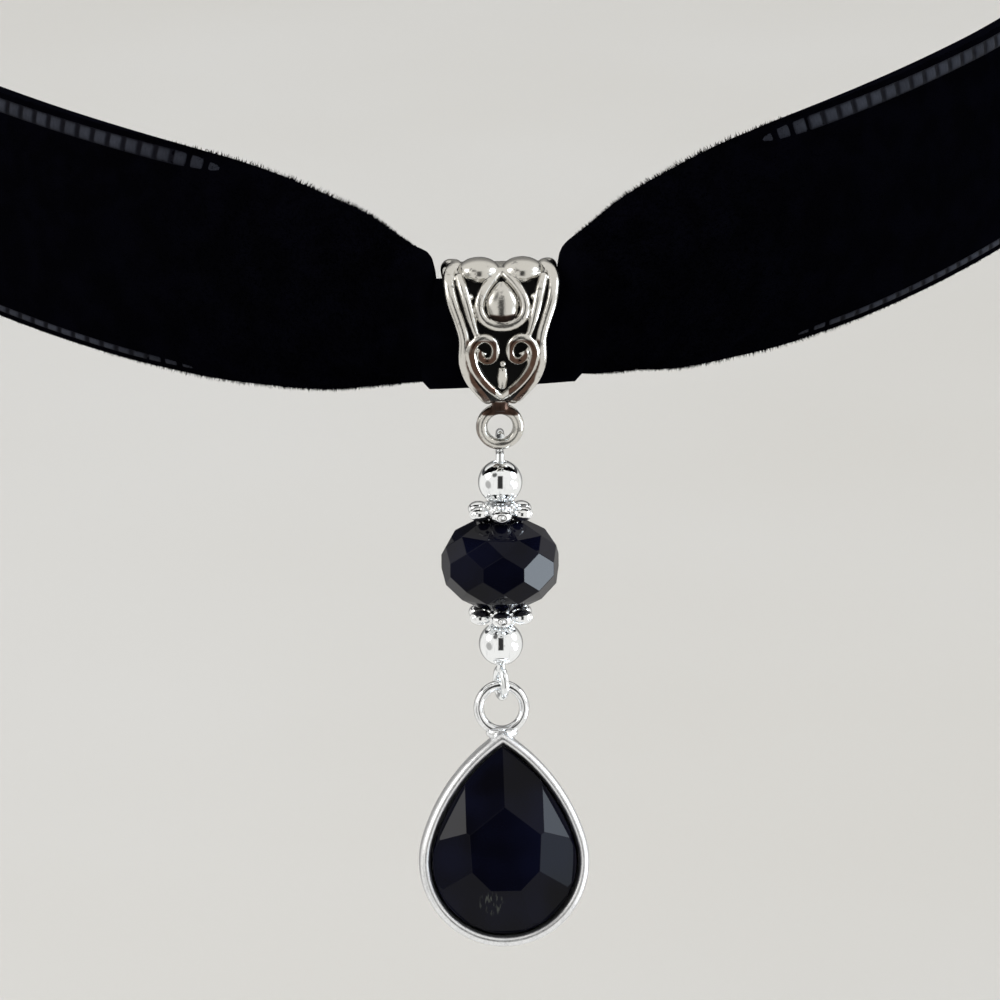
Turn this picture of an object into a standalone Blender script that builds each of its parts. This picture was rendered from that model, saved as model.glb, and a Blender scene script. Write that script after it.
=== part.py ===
"""Choker necklace: a velvet ribbon loop, a cast bail and a hanging beaded drop.

The origin is the centre of the neck opening, +Z runs up along the neck, and -Y is the wearer's front.
"""
import math

import bmesh
import bpy
from mathutils import Matrix, Vector

MM = 0.001

# Ribbon: a flat band round the neck that rolls up where it passes through the bail
LOOP_HALF_WIDTH = 50.0 * MM
LOOP_HALF_DEPTH = 54.0 * MM
LOOP_LEAN = math.radians(2.3)
RIBBON_WIDTH = 16.0 * MM
RIBBON_THICKNESS = 1.1 * MM
ROLL_TURN = math.radians(342.0)
ROLL_FLATNESS = 0.62
GATHER_REACH = 36.0 * MM
BULGE_REACH = 18.5 * MM
DIP = 9.3 * MM
DIP_REACH = 28.0 * MM
DIP_ROUNDING = 14.0 * MM
MOUTH_DIP = 1.05 * MM
MOUTH_REACH = 1.8 * MM
MOUTH_CLEARANCE = 0.4 * MM

# Clasp at the back: one plain sleeve over both ends of the ribbon
CLASP_LENGTH = 9.0 * MM
CLASP_WALL = 0.8 * MM
CLASP_WEB = 1.6 * MM
CLASP_CLEARANCE = 0.3 * MM

# Bail: an oval band with a shaped front, and a small ring below
BAIL_LENGTH = 7.8 * MM
BAIL_WALL = 0.6 * MM
BAIL_CLEARANCE = 0.3 * MM
BAIL_RIM_WIRE = 0.36 * MM
BAIL_RELIEF_WIRE = 0.21 * MM
LOBE_HALF_WIDTH = 1.6 * MM
LOBE_HALF_DEPTH = 1.4 * MM
LOBE_HEIGHT = 0.7 * MM
BOSS_HALF_WIDTH = 0.85 * MM
BOSS_HALF_HEIGHT = 1.15 * MM
BOSS_DEPTH = 0.55 * MM
BAIL_RING_RADIUS = 1.24 * MM
BAIL_RING_WIRE = 0.36 * MM
BAIL_NECK_LENGTH = 0.35 * MM

# Eye pin and what is threaded on it; the link leans forward as it goes down, as it lies when worn,
# and the drop leans further than the link
LINK_LEAN = math.radians(5.0)
DROP_LEAN = math.radians(12.0)
PIN_WIRE = 0.28 * MM
UPPER_EYE_RADIUS = 0.80 * MM
LOWER_EYE_RADIUS = 0.95 * MM
UPPER_EYE_TURN = math.radians(218.0)
LOWER_EYE_TURN = math.radians(336.0)
LINK_GAP = 0.15 * MM
STACK_GAP = 0.1 * MM
HOLE_RADIUS = 0.46 * MM
ROUND_BEAD_RADIUS = 1.5 * MM
SPACER_THICKNESS = 1.0 * MM
SPACER_PETALS = 6
SPACER_PETAL_RADIUS = 0.7 * MM
SPACER_PETAL_CIRCLE = 1.65 * MM
SPACER_HUB_RADIUS = 1.3 * MM
RONDELLE_RADIUS = 4.05 * MM
RONDELLE_HEIGHT = 6.0 * MM
RONDELLE_SIDES = 9
RONDELLE_SHOULDER = 2.2 * MM
RONDELLE_FLAT_RADIUS = 1.6 * MM

# Drop: a pear-shaped bezel with a ring on top, and the faceted stone in it
DROP_RING_RADIUS = 1.55 * MM
DROP_RING_WIRE = 0.35 * MM
DROP_RING_SINK = 0.35 * MM
PEAR_BOTTOM_RADIUS = 5.75 * MM
PEAR_HEIGHT = 14.6 * MM
PEAR_SIDE_RADIUS = 13.0 * MM
BEZEL_WALL = 0.7 * MM
BEZEL_DEPTH = 3.2 * MM
BEZEL_FLOOR = 0.8 * MM
STONE_CLEARANCE = 0.15 * MM
STONE_CROWN = 1.7 * MM
STONE_SINK = 0.55 * MM
STONE_GIRDLE = 0.25 * MM

# Sections of the gather: distance from the bail's mouth as a share of the gather's reach,
# and how far the section is rolled as a share of the full roll
GATHER_SECTIONS = [
    {"distance": 0.0, "roll": 1.0},
    {"distance": 0.025, "roll": 0.84},
    {"distance": 0.067, "roll": 0.72},
    {"distance": 0.125, "roll": 0.64},
    {"distance": 0.21, "roll": 0.50},
    {"distance": 0.32, "roll": 0.35},
    {"distance": 0.47, "roll": 0.15},
    {"distance": 0.69, "roll": 0.05},
    {"distance": 1.0, "roll": 0.0},
]
# Front outline of the bail: height as a share of its half height, half width as a share of its half length
BAIL_OUTLINE = [
    {"height": 1.10, "width": 0.88},
    {"height": 0.98, "width": 0.95},
    {"height": 0.84, "width": 1.0},
    {"height": 0.62, "width": 0.95},
    {"height": 0.34, "width": 0.83},
    {"height": 0.10, "width": 0.755},
    {"height": -0.25, "width": 0.755},
    {"height": -0.55, "width": 0.64},
    {"height": -0.80, "width": 0.45},
    {"height": -1.10, "width": 0.24},
]
# Section of the bezel, from the middle of its back round to its floor: inset from the outline as a share
# of the wall, and place in its depth, 0 at the back and 1 at the front rim
BEZEL_SECTION = [
    {"inset": 1.1, "depth": 0.0},
    {"inset": 0.35, "depth": 0.07},
    {"inset": 0.0, "depth": 0.28},
    {"inset": 0.0, "depth": 0.86},
    {"inset": 0.25, "depth": 0.97},
    {"inset": 0.55, "depth": 1.0},
    {"inset": 0.85, "depth": 0.96},
    {"inset": 1.0, "depth": 0.86},
]
# Table of the stone: place across as a share of its half width, and down as a share of its height
STONE_TABLE = [(0.0, 0.29), (0.42, 0.38), (0.48, 0.58), (0.33, 0.72), (0.0, 0.76)]
STONE_GIRDLE_SIDES = 22

RIBBON_BLACK = (0.012, 0.012, 0.014)
ANTIQUE_SILVER = (0.42, 0.40, 0.37)
BRIGHT_SILVER = (0.80, 0.81, 0.82)
SATIN_SILVER = (0.68, 0.69, 0.70)
BLACK_GLASS = (0.015, 0.016, 0.022)


def clear_scene():
    """Remove every object and collection of the start-up file."""
    for scene_object in list(bpy.data.objects):
        bpy.data.objects.remove(scene_object, do_unlink=True)
    for collection in list(bpy.data.collections):
        bpy.data.collections.remove(collection)


def make_collection(name):
    """Add a collection to the scene."""
    collection = bpy.data.collections.new(name)
    bpy.context.scene.collection.children.link(collection)
    return collection


def make_material(name, color, roughness, metallic):
    """Make a plain Principled material."""
    material = bpy.data.materials.new(name)
    material.use_nodes = True
    shader = material.node_tree.nodes["Principled BSDF"]
    shader.inputs["Base Color"].default_value = (*color, 1.0)
    shader.inputs["Roughness"].default_value = roughness
    shader.inputs["Metallic"].default_value = metallic
    return material


def object_from_bmesh(name, shape, collection):
    """Make a mesh object from a bmesh and link it to a collection."""
    mesh = bpy.data.meshes.new(name)
    shape.to_mesh(mesh)
    shape.free()
    made = bpy.data.objects.new(name, mesh)
    collection.objects.link(made)
    return made


def hide_cutter(cutter):
    """Show a shape that only cuts or joins as a wire, and keep it out of renders."""
    cutter.hide_render = True
    cutter.display_type = "WIRE"


def add_boolean(target, other, operation):
    """Cut, join or trim one object by another."""
    modifier = target.modifiers.new(f"{operation.lower()}_{other.name}", "BOOLEAN")
    modifier.operation = operation
    modifier.solver = "EXACT"
    modifier.object = other
    hide_cutter(other)


def finish(made, material, angle=None):
    """Give a piece its material, and smooth shading up to an angle."""
    made.data.materials.clear()
    made.data.materials.append(material)
    if angle is not None:
        made.data.shade_smooth()
        made.data.set_sharp_from_angle(angle=math.radians(angle))


def loft(name, rings, collection):
    """Join rings of points, each with as many points as the next, into one closed body."""
    shape = bmesh.new()
    rows = [[shape.verts.new(point) for point in ring] for ring in rings]
    count = len(rings[0])
    for lower, upper in zip(rows, rows[1:]):
        for i in range(count):
            j = (i + 1) % count
            shape.faces.new((lower[i], lower[j], upper[j], upper[i]))
    shape.faces.new(list(reversed(rows[0])))
    shape.faces.new(rows[-1])
    bmesh.ops.recalc_face_normals(shape, faces=shape.faces)
    return object_from_bmesh(name, shape, collection)


def hull(name, points, collection):
    """Wrap points in flat facets."""
    shape = bmesh.new()
    for point in points:
        shape.verts.new(point)
    bmesh.ops.convex_hull(shape, input=shape.verts)
    loose = [vert for vert in shape.verts if not vert.link_faces]
    bmesh.ops.delete(shape, geom=loose, context="VERTS")
    bmesh.ops.dissolve_limit(
        shape, angle_limit=math.radians(0.5), verts=shape.verts, edges=shape.edges)
    bmesh.ops.recalc_face_normals(shape, faces=shape.faces)
    return object_from_bmesh(name, shape, collection)


def tube(name, points, radius, collection, cyclic=False, resolution=1):
    """Run a round wire through points and return it as a welded mesh object."""
    curve = bpy.data.curves.new(name, "CURVE")
    curve.dimensions = "3D"
    curve.bevel_depth = radius
    curve.bevel_resolution = resolution
    curve.use_fill_caps = not cyclic
    spline = curve.splines.new("POLY")
    spline.points.add(len(points) - 1)
    for spline_point, point in zip(spline.points, points):
        spline_point.co = (*point, 1.0)
    spline.use_cyclic_u = cyclic
    wire = bpy.data.objects.new(name, curve)
    collection.objects.link(wire)
    graph = bpy.context.evaluated_depsgraph_get()
    mesh = bpy.data.meshes.new_from_object(wire.evaluated_get(graph))
    bpy.data.objects.remove(wire)
    bpy.data.curves.remove(curve)
    shape = bmesh.new()
    shape.from_mesh(mesh)
    bpy.data.meshes.remove(mesh)
    bmesh.ops.remove_doubles(shape, verts=shape.verts, dist=0.001 * MM)
    bmesh.ops.recalc_face_normals(shape, faces=shape.faces)
    return object_from_bmesh(name, shape, collection)


def cylinder(name, radius, length, axis_turn, centre, collection, segments=16):
    """Make a capped cylinder, turned from +Z by a rotation matrix."""
    shape = bmesh.new()
    place = Matrix.Translation(centre) @ axis_turn
    bmesh.ops.create_cone(
        shape, cap_ends=True, segments=segments, radius1=radius, radius2=radius,
        depth=length, matrix=place)
    return object_from_bmesh(name, shape, collection)


def ball(name, radii, centre, collection, segments=12, rings=8):
    """Make an ellipsoid with three half sizes."""
    shape = bmesh.new()
    place = Matrix.Translation(centre) @ Matrix.Diagonal((*radii, 1.0))
    bmesh.ops.create_uvsphere(shape, u_segments=segments, v_segments=rings, radius=1.0, matrix=place)
    return object_from_bmesh(name, shape, collection)


def wire_ring(name, radius, wire, centre, collection, sides=20):
    """Make a closed wire ring that faces the front."""
    points = []
    for i in range(sides):
        turn = math.tau * i / sides
        points.append(centre + Vector((radius * math.sin(turn), 0.0, radius * math.cos(turn))))
    return tube(name, points, wire, collection, cyclic=True, resolution=1)


def smooth_step(value):
    """Ease from 0 to 1."""
    value = min(max(value, 0.0), 1.0)
    return value * value * (3.0 - 2.0 * value)


def read_table(rows, key, value, at):
    """Read a table of rows at a place between them, on a smooth curve."""
    keys = [row[key] for row in rows]
    values = [row[value] for row in rows]
    if keys[0] > keys[-1]:
        keys.reverse()
        values.reverse()
    at = min(max(at, keys[0]), keys[-1])
    index = 0
    while index < len(keys) - 2 and keys[index + 1] < at:
        index += 1

    def slope(i):
        """Slope of the curve at a row, from its neighbours."""
        low = max(i - 1, 0)
        high = min(i + 1, len(keys) - 1)
        return (values[high] - values[low]) / (keys[high] - keys[low])

    span = keys[index + 1] - keys[index]
    t = (at - keys[index]) / span
    return (
        (2 * t ** 3 - 3 * t ** 2 + 1) * values[index]
        + (t ** 3 - 2 * t ** 2 + t) * span * slope(index)
        + (3 * t ** 2 - 2 * t ** 3) * values[index + 1]
        + (t ** 3 - t ** 2) * span * slope(index + 1)
    )


def arc_length_of_turn(turn, flatness, steps=120):
    """Length of an oval arc of half height 1, flattened front to back."""
    length = 0.0
    last = None
    for i in range(steps + 1):
        angle = turn * (i / steps - 0.5)
        point = Vector((math.sin(angle), flatness * math.cos(angle)))
        if last is not None:
            length += (point - last).length
        last = point
    return length


ROLL_HALF_HEIGHT = RIBBON_WIDTH / arc_length_of_turn(ROLL_TURN, ROLL_FLATNESS)
ROLL_HALF_DEPTH = ROLL_HALF_HEIGHT * ROLL_FLATNESS
BORE_HALF_HEIGHT = ROLL_HALF_HEIGHT + RIBBON_THICKNESS / 2 + BAIL_CLEARANCE
BORE_HALF_DEPTH = ROLL_HALF_DEPTH + RIBBON_THICKNESS / 2 + BAIL_CLEARANCE
BAIL_HALF_HEIGHT = BORE_HALF_HEIGHT + BAIL_WALL
BAIL_HALF_DEPTH = BORE_HALF_DEPTH + BAIL_WALL
BAIL_BACK = BAIL_HALF_DEPTH + BAIL_RIM_WIRE - BAIL_WALL / 2
BAIL_CENTRE = Vector((
    0.0,
    -(LOOP_HALF_DEPTH - RIBBON_THICKNESS / 2) - BAIL_BACK,
    -(DIP + MOUTH_DIP),
))
BULGE = -BAIL_CENTRE.y + ROLL_HALF_DEPTH - LOOP_HALF_DEPTH


class RibbonLoop:
    """The ribbon's centre line round the neck, by length from the bail."""

    STEPS = 1440

    def __init__(self):
        """Walk the oval and note the length at each step."""
        self.lengths = [0.0]
        last = self.oval(0.0)
        for i in range(1, self.STEPS + 1):
            point = self.oval(math.tau * i / self.STEPS)
            self.lengths.append(self.lengths[-1] + (point - last).length)
            last = point
        self.length = self.lengths[-1]

    @staticmethod
    def oval(angle):
        """Point of the oval at an angle from the front."""
        return Vector((LOOP_HALF_WIDTH * math.sin(angle), -LOOP_HALF_DEPTH * math.cos(angle), 0.0))

    def angle_at(self, along):
        """Angle of the oval at a length from the front."""
        along %= self.length
        low = 0
        high = self.STEPS
        while high - low > 1:
            middle = (low + high) // 2
            if self.lengths[middle] <= along:
                low = middle
            else:
                high = middle
        part = (along - self.lengths[low]) / (self.lengths[high] - self.lengths[low])
        return math.tau * (low + part) / self.STEPS

    def outward(self, along):
        """Level direction out of the neck at a length from the front."""
        angle = self.angle_at(along)
        return Vector((
            LOOP_HALF_DEPTH * math.sin(angle), -LOOP_HALF_WIDTH * math.cos(angle), 0.0)).normalized()

    def from_mouth(self, along):
        """Distance from the nearer mouth of the bail."""
        short_way = min(along % self.length, self.length - along % self.length)
        return max(short_way - BAIL_LENGTH / 2 - MOUTH_CLEARANCE, 0.0)

    def sweep(self, along):
        """Front of the ribbon's middle, with its bulge, its long dip and its lean."""
        away = self.from_mouth(along)
        point = self.oval(self.angle_at(along))
        point += self.outward(along) * BULGE * (1.0 - smooth_step(away / BULGE_REACH))
        fall = (math.hypot(away, DIP_ROUNDING) - DIP_ROUNDING) / DIP_REACH
        point.z -= DIP * math.exp(-fall)
        point.z += point.x * math.tan(LOOP_LEAN)
        return point

    def spine(self, along):
        """The sweep with the short dip into the bail's mouth."""
        point = self.sweep(along)
        point.z -= MOUTH_DIP * math.exp(-(self.from_mouth(along) / MOUTH_REACH) ** 2)
        return point

    def frame(self, along):
        """Place, direction across the ribbon and direction out of it."""
        step = 0.2 * MM
        tangent = (self.sweep(along + step) - self.sweep(along - step)).normalized()
        across = self.outward(along).cross(tangent)
        if across.z < 0:
            across.negate()
        across.normalize()
        out = tangent.cross(across)
        if out.dot(self.outward(along)) < 0:
            out.negate()
        return self.spine(along), across, out

    def section(self, along, columns):
        """Middle line of the ribbon's section at a length from the front."""
        place, across, out = self.frame(along)
        roll = read_table(GATHER_SECTIONS, "distance", "roll", self.from_mouth(along) / GATHER_REACH)
        turn = max(ROLL_TURN * roll, math.radians(2.0))
        flatness = 1.0 - (1.0 - ROLL_FLATNESS) * roll
        half_height = RIBBON_WIDTH / arc_length_of_turn(turn, flatness)
        points = []
        for i in range(columns + 1):
            angle = turn * (i / columns - 0.5)
            points.append(
                place
                + across * half_height * math.sin(angle)
                - out * half_height * flatness * (1.0 - math.cos(angle)))
        return points


def ribbon_stations(loop):
    """Lengths along the ribbon for its sections: close together in the gather, wide apart behind."""
    mouth = BAIL_LENGTH / 2 + MOUTH_CLEARANCE
    end = loop.length / 2 - CLASP_WEB / 2 - CLASP_CLEARANCE
    one_side = [0.0, mouth * 0.6, mouth]
    gather_steps = 13
    for i in range(1, gather_steps + 1):
        one_side.append(mouth + GATHER_REACH * (i / gather_steps) ** 1.6)
    plain_steps = 13
    start = one_side[-1]
    for i in range(1, plain_steps + 1):
        one_side.append(start + (end - start) * i / plain_steps)
    return [-along for along in reversed(one_side[1:])] + one_side


def build_ribbon(loop, collection, material):
    """Loft the ribbon's middle surface through its sections and give it its thickness."""
    columns = 12
    shape = bmesh.new()
    rows = []
    for along in ribbon_stations(loop):
        rows.append([shape.verts.new(point) for point in loop.section(along, columns)])
    for left, right in zip(rows, rows[1:]):
        for i in range(columns):
            shape.faces.new((left[i], right[i], right[i + 1], left[i + 1]))
    ribbon = object_from_bmesh("velvet_ribbon", shape, collection)
    wall = ribbon.modifiers.new("thickness", "SOLIDIFY")
    wall.thickness = RIBBON_THICKNESS
    wall.offset = 0.0
    finish(ribbon, material, 50)
    return ribbon


def swept_bar(name, loop, start, end, height, depth, collection, steps=6):
    """A bar of rectangular section that follows the ribbon's loop."""
    rings = []
    for i in range(steps + 1):
        place, across, out = loop.frame(start + (end - start) * i / steps)
        rings.append([
            place + across * height / 2 + out * depth / 2,
            place - across * height / 2 + out * depth / 2,
            place - across * height / 2 - out * depth / 2,
            place + across * height / 2 - out * depth / 2,
        ])
    return loft(name, rings, collection)


def build_clasp(loop, collection, cutters, material):
    """A plain sleeve with a blind slot for each end of the ribbon."""
    back = loop.length / 2
    slot_height = RIBBON_WIDTH + 2 * CLASP_CLEARANCE
    slot_depth = RIBBON_THICKNESS + 2 * CLASP_CLEARANCE
    clasp = swept_bar(
        "ribbon_clasp", loop, back - CLASP_LENGTH / 2, back + CLASP_LENGTH / 2,
        slot_height + 2 * CLASP_WALL, slot_depth + 2 * CLASP_WALL, collection)
    for side, sign in (("left", -1), ("right", 1)):
        slot = swept_bar(
            f"clasp_slot_{side}", loop, back + sign * CLASP_WEB / 2,
            back + sign * (CLASP_LENGTH / 2 + CLASP_WALL), slot_height, slot_depth, cutters)
        add_boolean(clasp, slot, "DIFFERENCE")
    finish(clasp, material, 40)
    return clasp


def bail_half_width(height):
    """Half width of the bail's front outline at a height from its centre."""
    return BAIL_LENGTH / 2 * read_table(BAIL_OUTLINE, "height", "width", height / BAIL_HALF_HEIGHT)


def bail_front(across, height, lift=0.0):
    """Point on the bail's front face, by shares of its half length and half height."""
    z = BAIL_HALF_HEIGHT * height
    y = -BAIL_HALF_DEPTH * math.sqrt(max(1.0 - height * height, 0.0))
    out = Vector((0.0, y / BAIL_HALF_DEPTH ** 2, z / BAIL_HALF_HEIGHT ** 2)).normalized()
    return BAIL_CENTRE + Vector((BAIL_LENGTH / 2 * across, y, z)) + out * lift


def bail_rim(sign):
    """Points round one edge of the bail, front and back."""
    steps = 26
    points = []
    for i in range(steps):
        turn = math.tau * i / steps
        middle_height = BAIL_HALF_HEIGHT - BAIL_WALL / 2
        middle_depth = BAIL_HALF_DEPTH - BAIL_WALL / 2
        z = middle_height * math.cos(turn)
        half = bail_half_width(z) - BAIL_RIM_WIRE
        points.append(BAIL_CENTRE + Vector((sign * half, -middle_depth * math.sin(turn), z)))
    return points


def teardrop(half_width, top, bottom):
    """Teardrop line on the bail's front, pointed at the top, by shares of the bail."""
    fullest = 0.42
    right = []
    for down in (0.10, 0.22, 0.36, 0.50, 0.64, 0.78, 0.90, 0.975):
        across = half_width * down ** 0.8 * math.sqrt(1.0 - down) / fullest
        right.append((across, top + (bottom - top) * down))
    left = [(-across, height) for across, height in reversed(right)]
    return [bail_front(across, height) for across, height in [(0.0, top)] + right + [(0.0, bottom)] + left]


def heart_scroll():
    """One wire bent to a heart: a curl, down a side to the point, up the other side, a curl."""
    half = []
    side_steps = 6
    for i in range(1, side_steps):
        part = i / side_steps
        across = 0.53 * math.sin(part * math.pi / 2) ** 0.85
        half.append((across, -0.80 + 0.70 * part))
    curl = 13
    for i in range(curl + 1):
        turn = 1.45 * math.pi * i / curl
        size = 0.25 * (1.0 - 0.50 * i / curl)
        half.append((0.285 + size * math.cos(turn), -0.10 + size * 1.05 * math.sin(turn)))
    left = [(-across, height) for across, height in reversed(half)]
    return [bail_front(across, height) for across, height in left + [(0.0, -0.80)] + half]


def build_bail(collection, cutters, material):
    """The cast bail: oval band, rolled rims, raised ornament, neck and ring as one solid."""
    along_x = Matrix.Rotation(math.pi / 2, 4, "Y")
    shape = bmesh.new()
    squash = Matrix.Diagonal((1.0, BAIL_HALF_DEPTH, BAIL_HALF_HEIGHT, 1.0))
    place = Matrix.Translation(BAIL_CENTRE) @ squash @ along_x
    bmesh.ops.create_cone(
        shape, cap_ends=True, segments=36, radius1=1.0, radius2=1.0, depth=BAIL_LENGTH, matrix=place)
    bail = object_from_bmesh("bail", shape, collection)

    outline = bpy.data.curves.new("bail_outline", "CURVE")
    outline.dimensions = "2D"
    outline.fill_mode = "BOTH"
    outline.extrude = BAIL_HALF_DEPTH + BAIL_WALL
    heights = [1.10 - 2.20 * i / 16 for i in range(17)]
    corners = [(bail_half_width(h * BAIL_HALF_HEIGHT), h * BAIL_HALF_HEIGHT) for h in heights]
    corners += [(-across, z) for across, z in reversed(corners)]
    spline = outline.splines.new("POLY")
    spline.points.add(len(corners) - 1)
    for spline_point, (across, z) in zip(spline.points, corners):
        spline_point.co = (across, z, 0.0, 1.0)
    spline.use_cyclic_u = True
    flat = bpy.data.objects.new("bail_outline", outline)
    cutters.objects.link(flat)
    graph = bpy.context.evaluated_depsgraph_get()
    mesh = bpy.data.meshes.new_from_object(flat.evaluated_get(graph))
    bpy.data.objects.remove(flat)
    mesh.transform(Matrix.Translation(BAIL_CENTRE) @ Matrix.Rotation(math.pi / 2, 4, "X"))
    prism = bmesh.new()
    prism.from_mesh(mesh)
    bpy.data.meshes.remove(mesh)
    bmesh.ops.remove_doubles(prism, verts=prism.verts, dist=0.001 * MM)
    bmesh.ops.recalc_face_normals(prism, faces=prism.faces)
    add_boolean(bail, object_from_bmesh("bail_front_outline", prism, cutters), "INTERSECT")

    relief = []
    for side, sign in (("left", -1), ("right", 1)):
        relief.append(tube(f"rim_{side}", bail_rim(sign), BAIL_RIM_WIRE, cutters, cyclic=True))
        ridge = [bail_front(sign * a, h, 0.0) for a, h in (
            (0.74, 0.93), (0.70, 0.80), (0.64, 0.60), (0.55, 0.38), (0.43, 0.14))]
        relief.append(tube(f"ridge_{side}", ridge, BAIL_RELIEF_WIRE, cutters))
        lobe = bail_front(sign * 0.43, 0.965, -LOBE_HEIGHT * 0.25)
        relief.append(ball(
            f"lobe_{side}", (LOBE_HALF_WIDTH, LOBE_HALF_DEPTH, LOBE_HEIGHT), lobe, cutters,
            segments=14, rings=8))
    relief.append(tube("heart_scroll", heart_scroll(), BAIL_RELIEF_WIRE, cutters))
    relief.append(tube("drop_ring", teardrop(0.395, 0.93, 0.26), BAIL_RELIEF_WIRE, cutters, cyclic=True))
    relief.append(ball(
        "drop_boss", (BOSS_HALF_WIDTH, BOSS_DEPTH, BOSS_HALF_HEIGHT),
        bail_front(0.0, 0.52, -BOSS_DEPTH * 0.3), cutters, segments=12, rings=8))
    leaf = [bail_front(0.0, h, 0.0) for h in (-0.26, -0.42, -0.58)]
    relief.append(tube("leaf", leaf, BAIL_RELIEF_WIRE * 1.3, cutters))
    ring_centre = bail_ring_centre()
    neck_top = BAIL_HALF_HEIGHT - BAIL_WALL / 2
    neck_length = BAIL_WALL / 2 + BAIL_NECK_LENGTH + BAIL_RING_WIRE
    relief.append(cylinder(
        "neck", BAIL_RIM_WIRE * 1.6, neck_length, Matrix.Identity(4),
        BAIL_CENTRE - Vector((0.0, 0.0, neck_top + neck_length / 2)), cutters, segments=12))
    relief.append(wire_ring("ring", BAIL_RING_RADIUS, BAIL_RING_WIRE, ring_centre, cutters))
    for raised in relief:
        add_boolean(bail, raised, "UNION")

    shape = bmesh.new()
    squash = Matrix.Diagonal((1.0, BORE_HALF_DEPTH, BORE_HALF_HEIGHT, 1.0))
    place = Matrix.Translation(BAIL_CENTRE) @ squash @ along_x
    bmesh.ops.create_cone(
        shape, cap_ends=True, segments=36, radius1=1.0, radius2=1.0, depth=BAIL_LENGTH * 1.5,
        matrix=place)
    add_boolean(bail, object_from_bmesh("bail_bore", shape, cutters), "DIFFERENCE")
    finish(bail, material, 40)
    return bail


def bail_ring_centre():
    """Centre of the bail's ring, below its neck."""
    drop = BAIL_HALF_HEIGHT + BAIL_NECK_LENGTH + BAIL_RING_WIRE + BAIL_RING_RADIUS
    return BAIL_CENTRE - Vector((0.0, 0.0, drop))


def link_pivot():
    """Where the upper eye's wire lies on the bail's ring, which the beaded link swings about."""
    lift = BAIL_RING_WIRE + LINK_GAP + PIN_WIRE
    ring_bottom = bail_ring_centre() - Vector((0.0, 0.0, BAIL_RING_RADIUS))
    return ring_bottom + lift * Vector((0.0, math.sin(LINK_LEAN), math.cos(LINK_LEAN)))


def bead_rim():
    """Height of a round bead's hole edge above its centre."""
    return math.sqrt(ROUND_BEAD_RADIUS ** 2 - HOLE_RADIUS ** 2)


class Stack:
    """Heights on the link, below its pivot, from the upper eye down to the lower eye."""

    upper_eye = -UPPER_EYE_RADIUS
    upper_bead = upper_eye - UPPER_EYE_RADIUS - PIN_WIRE - STACK_GAP - bead_rim()
    upper_spacer = upper_bead - bead_rim() - STACK_GAP - SPACER_THICKNESS / 2
    rondelle = upper_spacer - SPACER_THICKNESS / 2 - STACK_GAP - RONDELLE_HEIGHT / 2
    lower_spacer = rondelle - RONDELLE_HEIGHT / 2 - STACK_GAP - SPACER_THICKNESS / 2
    lower_bead = lower_spacer - SPACER_THICKNESS / 2 - STACK_GAP - bead_rim()
    lower_eye = lower_bead - bead_rim() - STACK_GAP - PIN_WIRE - LOWER_EYE_RADIUS


def drop_pivot():
    """Where the drop's ring lies in the lower eye, on the link, which the drop swings about."""
    return Vector((
        0.0, -LOWER_EYE_RADIUS * math.sin(DROP_LEAN),
        Stack.lower_eye - LOWER_EYE_RADIUS * math.cos(DROP_LEAN)))


def place_under(made, parent, height=0.0):
    """Hang a piece from a pivot at a height."""
    made.parent = parent
    made.location = (0.0, 0.0, height)


def drill(made, length, cutters):
    """Cut the thread hole through a bead along Z."""
    hole = cylinder(
        f"{made.name}_hole", HOLE_RADIUS, length, Matrix.Identity(4), Vector(), cutters, segments=12)
    hole.parent = made
    add_boolean(made, hole, "DIFFERENCE")


def build_eye_pin(collection, parent, material):
    """One wire: an open eye above, a straight shaft, and a nearly closed eye below."""
    points = []
    steps = 13
    for i in range(steps + 1):
        turn = UPPER_EYE_TURN * (1 - i / steps)
        points.append(Vector((
            0.0, UPPER_EYE_RADIUS * math.sin(turn),
            Stack.upper_eye - UPPER_EYE_RADIUS * math.cos(turn))))
    steps = 18
    for i in range(steps + 1):
        turn = LOWER_EYE_TURN * i / steps
        points.append(Vector((
            0.0, LOWER_EYE_RADIUS * math.sin(turn),
            Stack.lower_eye + LOWER_EYE_RADIUS * math.cos(turn))))
    pin = tube("eye_pin", points, PIN_WIRE, collection, resolution=2)
    place_under(pin, parent)
    finish(pin, material, 50)
    return pin


def build_round_bead(name, height, collection, cutters, parent, material):
    """A small round metal bead with its thread hole."""
    bead = ball(name, (ROUND_BEAD_RADIUS,) * 3, Vector(), collection, segments=16, rings=10)
    drill(bead, 4 * ROUND_BEAD_RADIUS, cutters)
    place_under(bead, parent, height)
    finish(bead, material, 40)
    return bead


def build_spacer(name, height, collection, cutters, parent, material):
    """A daisy spacer: a drilled hub with round petals cast on."""
    spacer = cylinder(
        name, SPACER_HUB_RADIUS, SPACER_THICKNESS, Matrix.Identity(4), Vector(), collection, segments=18)
    for i in range(SPACER_PETALS):
        turn = math.tau * i / SPACER_PETALS
        centre = SPACER_PETAL_CIRCLE * Vector((math.sin(turn), -math.cos(turn), 0.0))
        petal = ball(
            f"{name}_petal_{i}", (SPACER_PETAL_RADIUS, SPACER_PETAL_RADIUS, SPACER_THICKNESS * 0.55),
            centre, cutters, segments=10, rings=6)
        petal.parent = spacer
        add_boolean(spacer, petal, "UNION")
    drill(spacer, 3 * SPACER_THICKNESS, cutters)
    place_under(spacer, parent, height)
    finish(spacer, material, 35)
    return spacer


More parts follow.
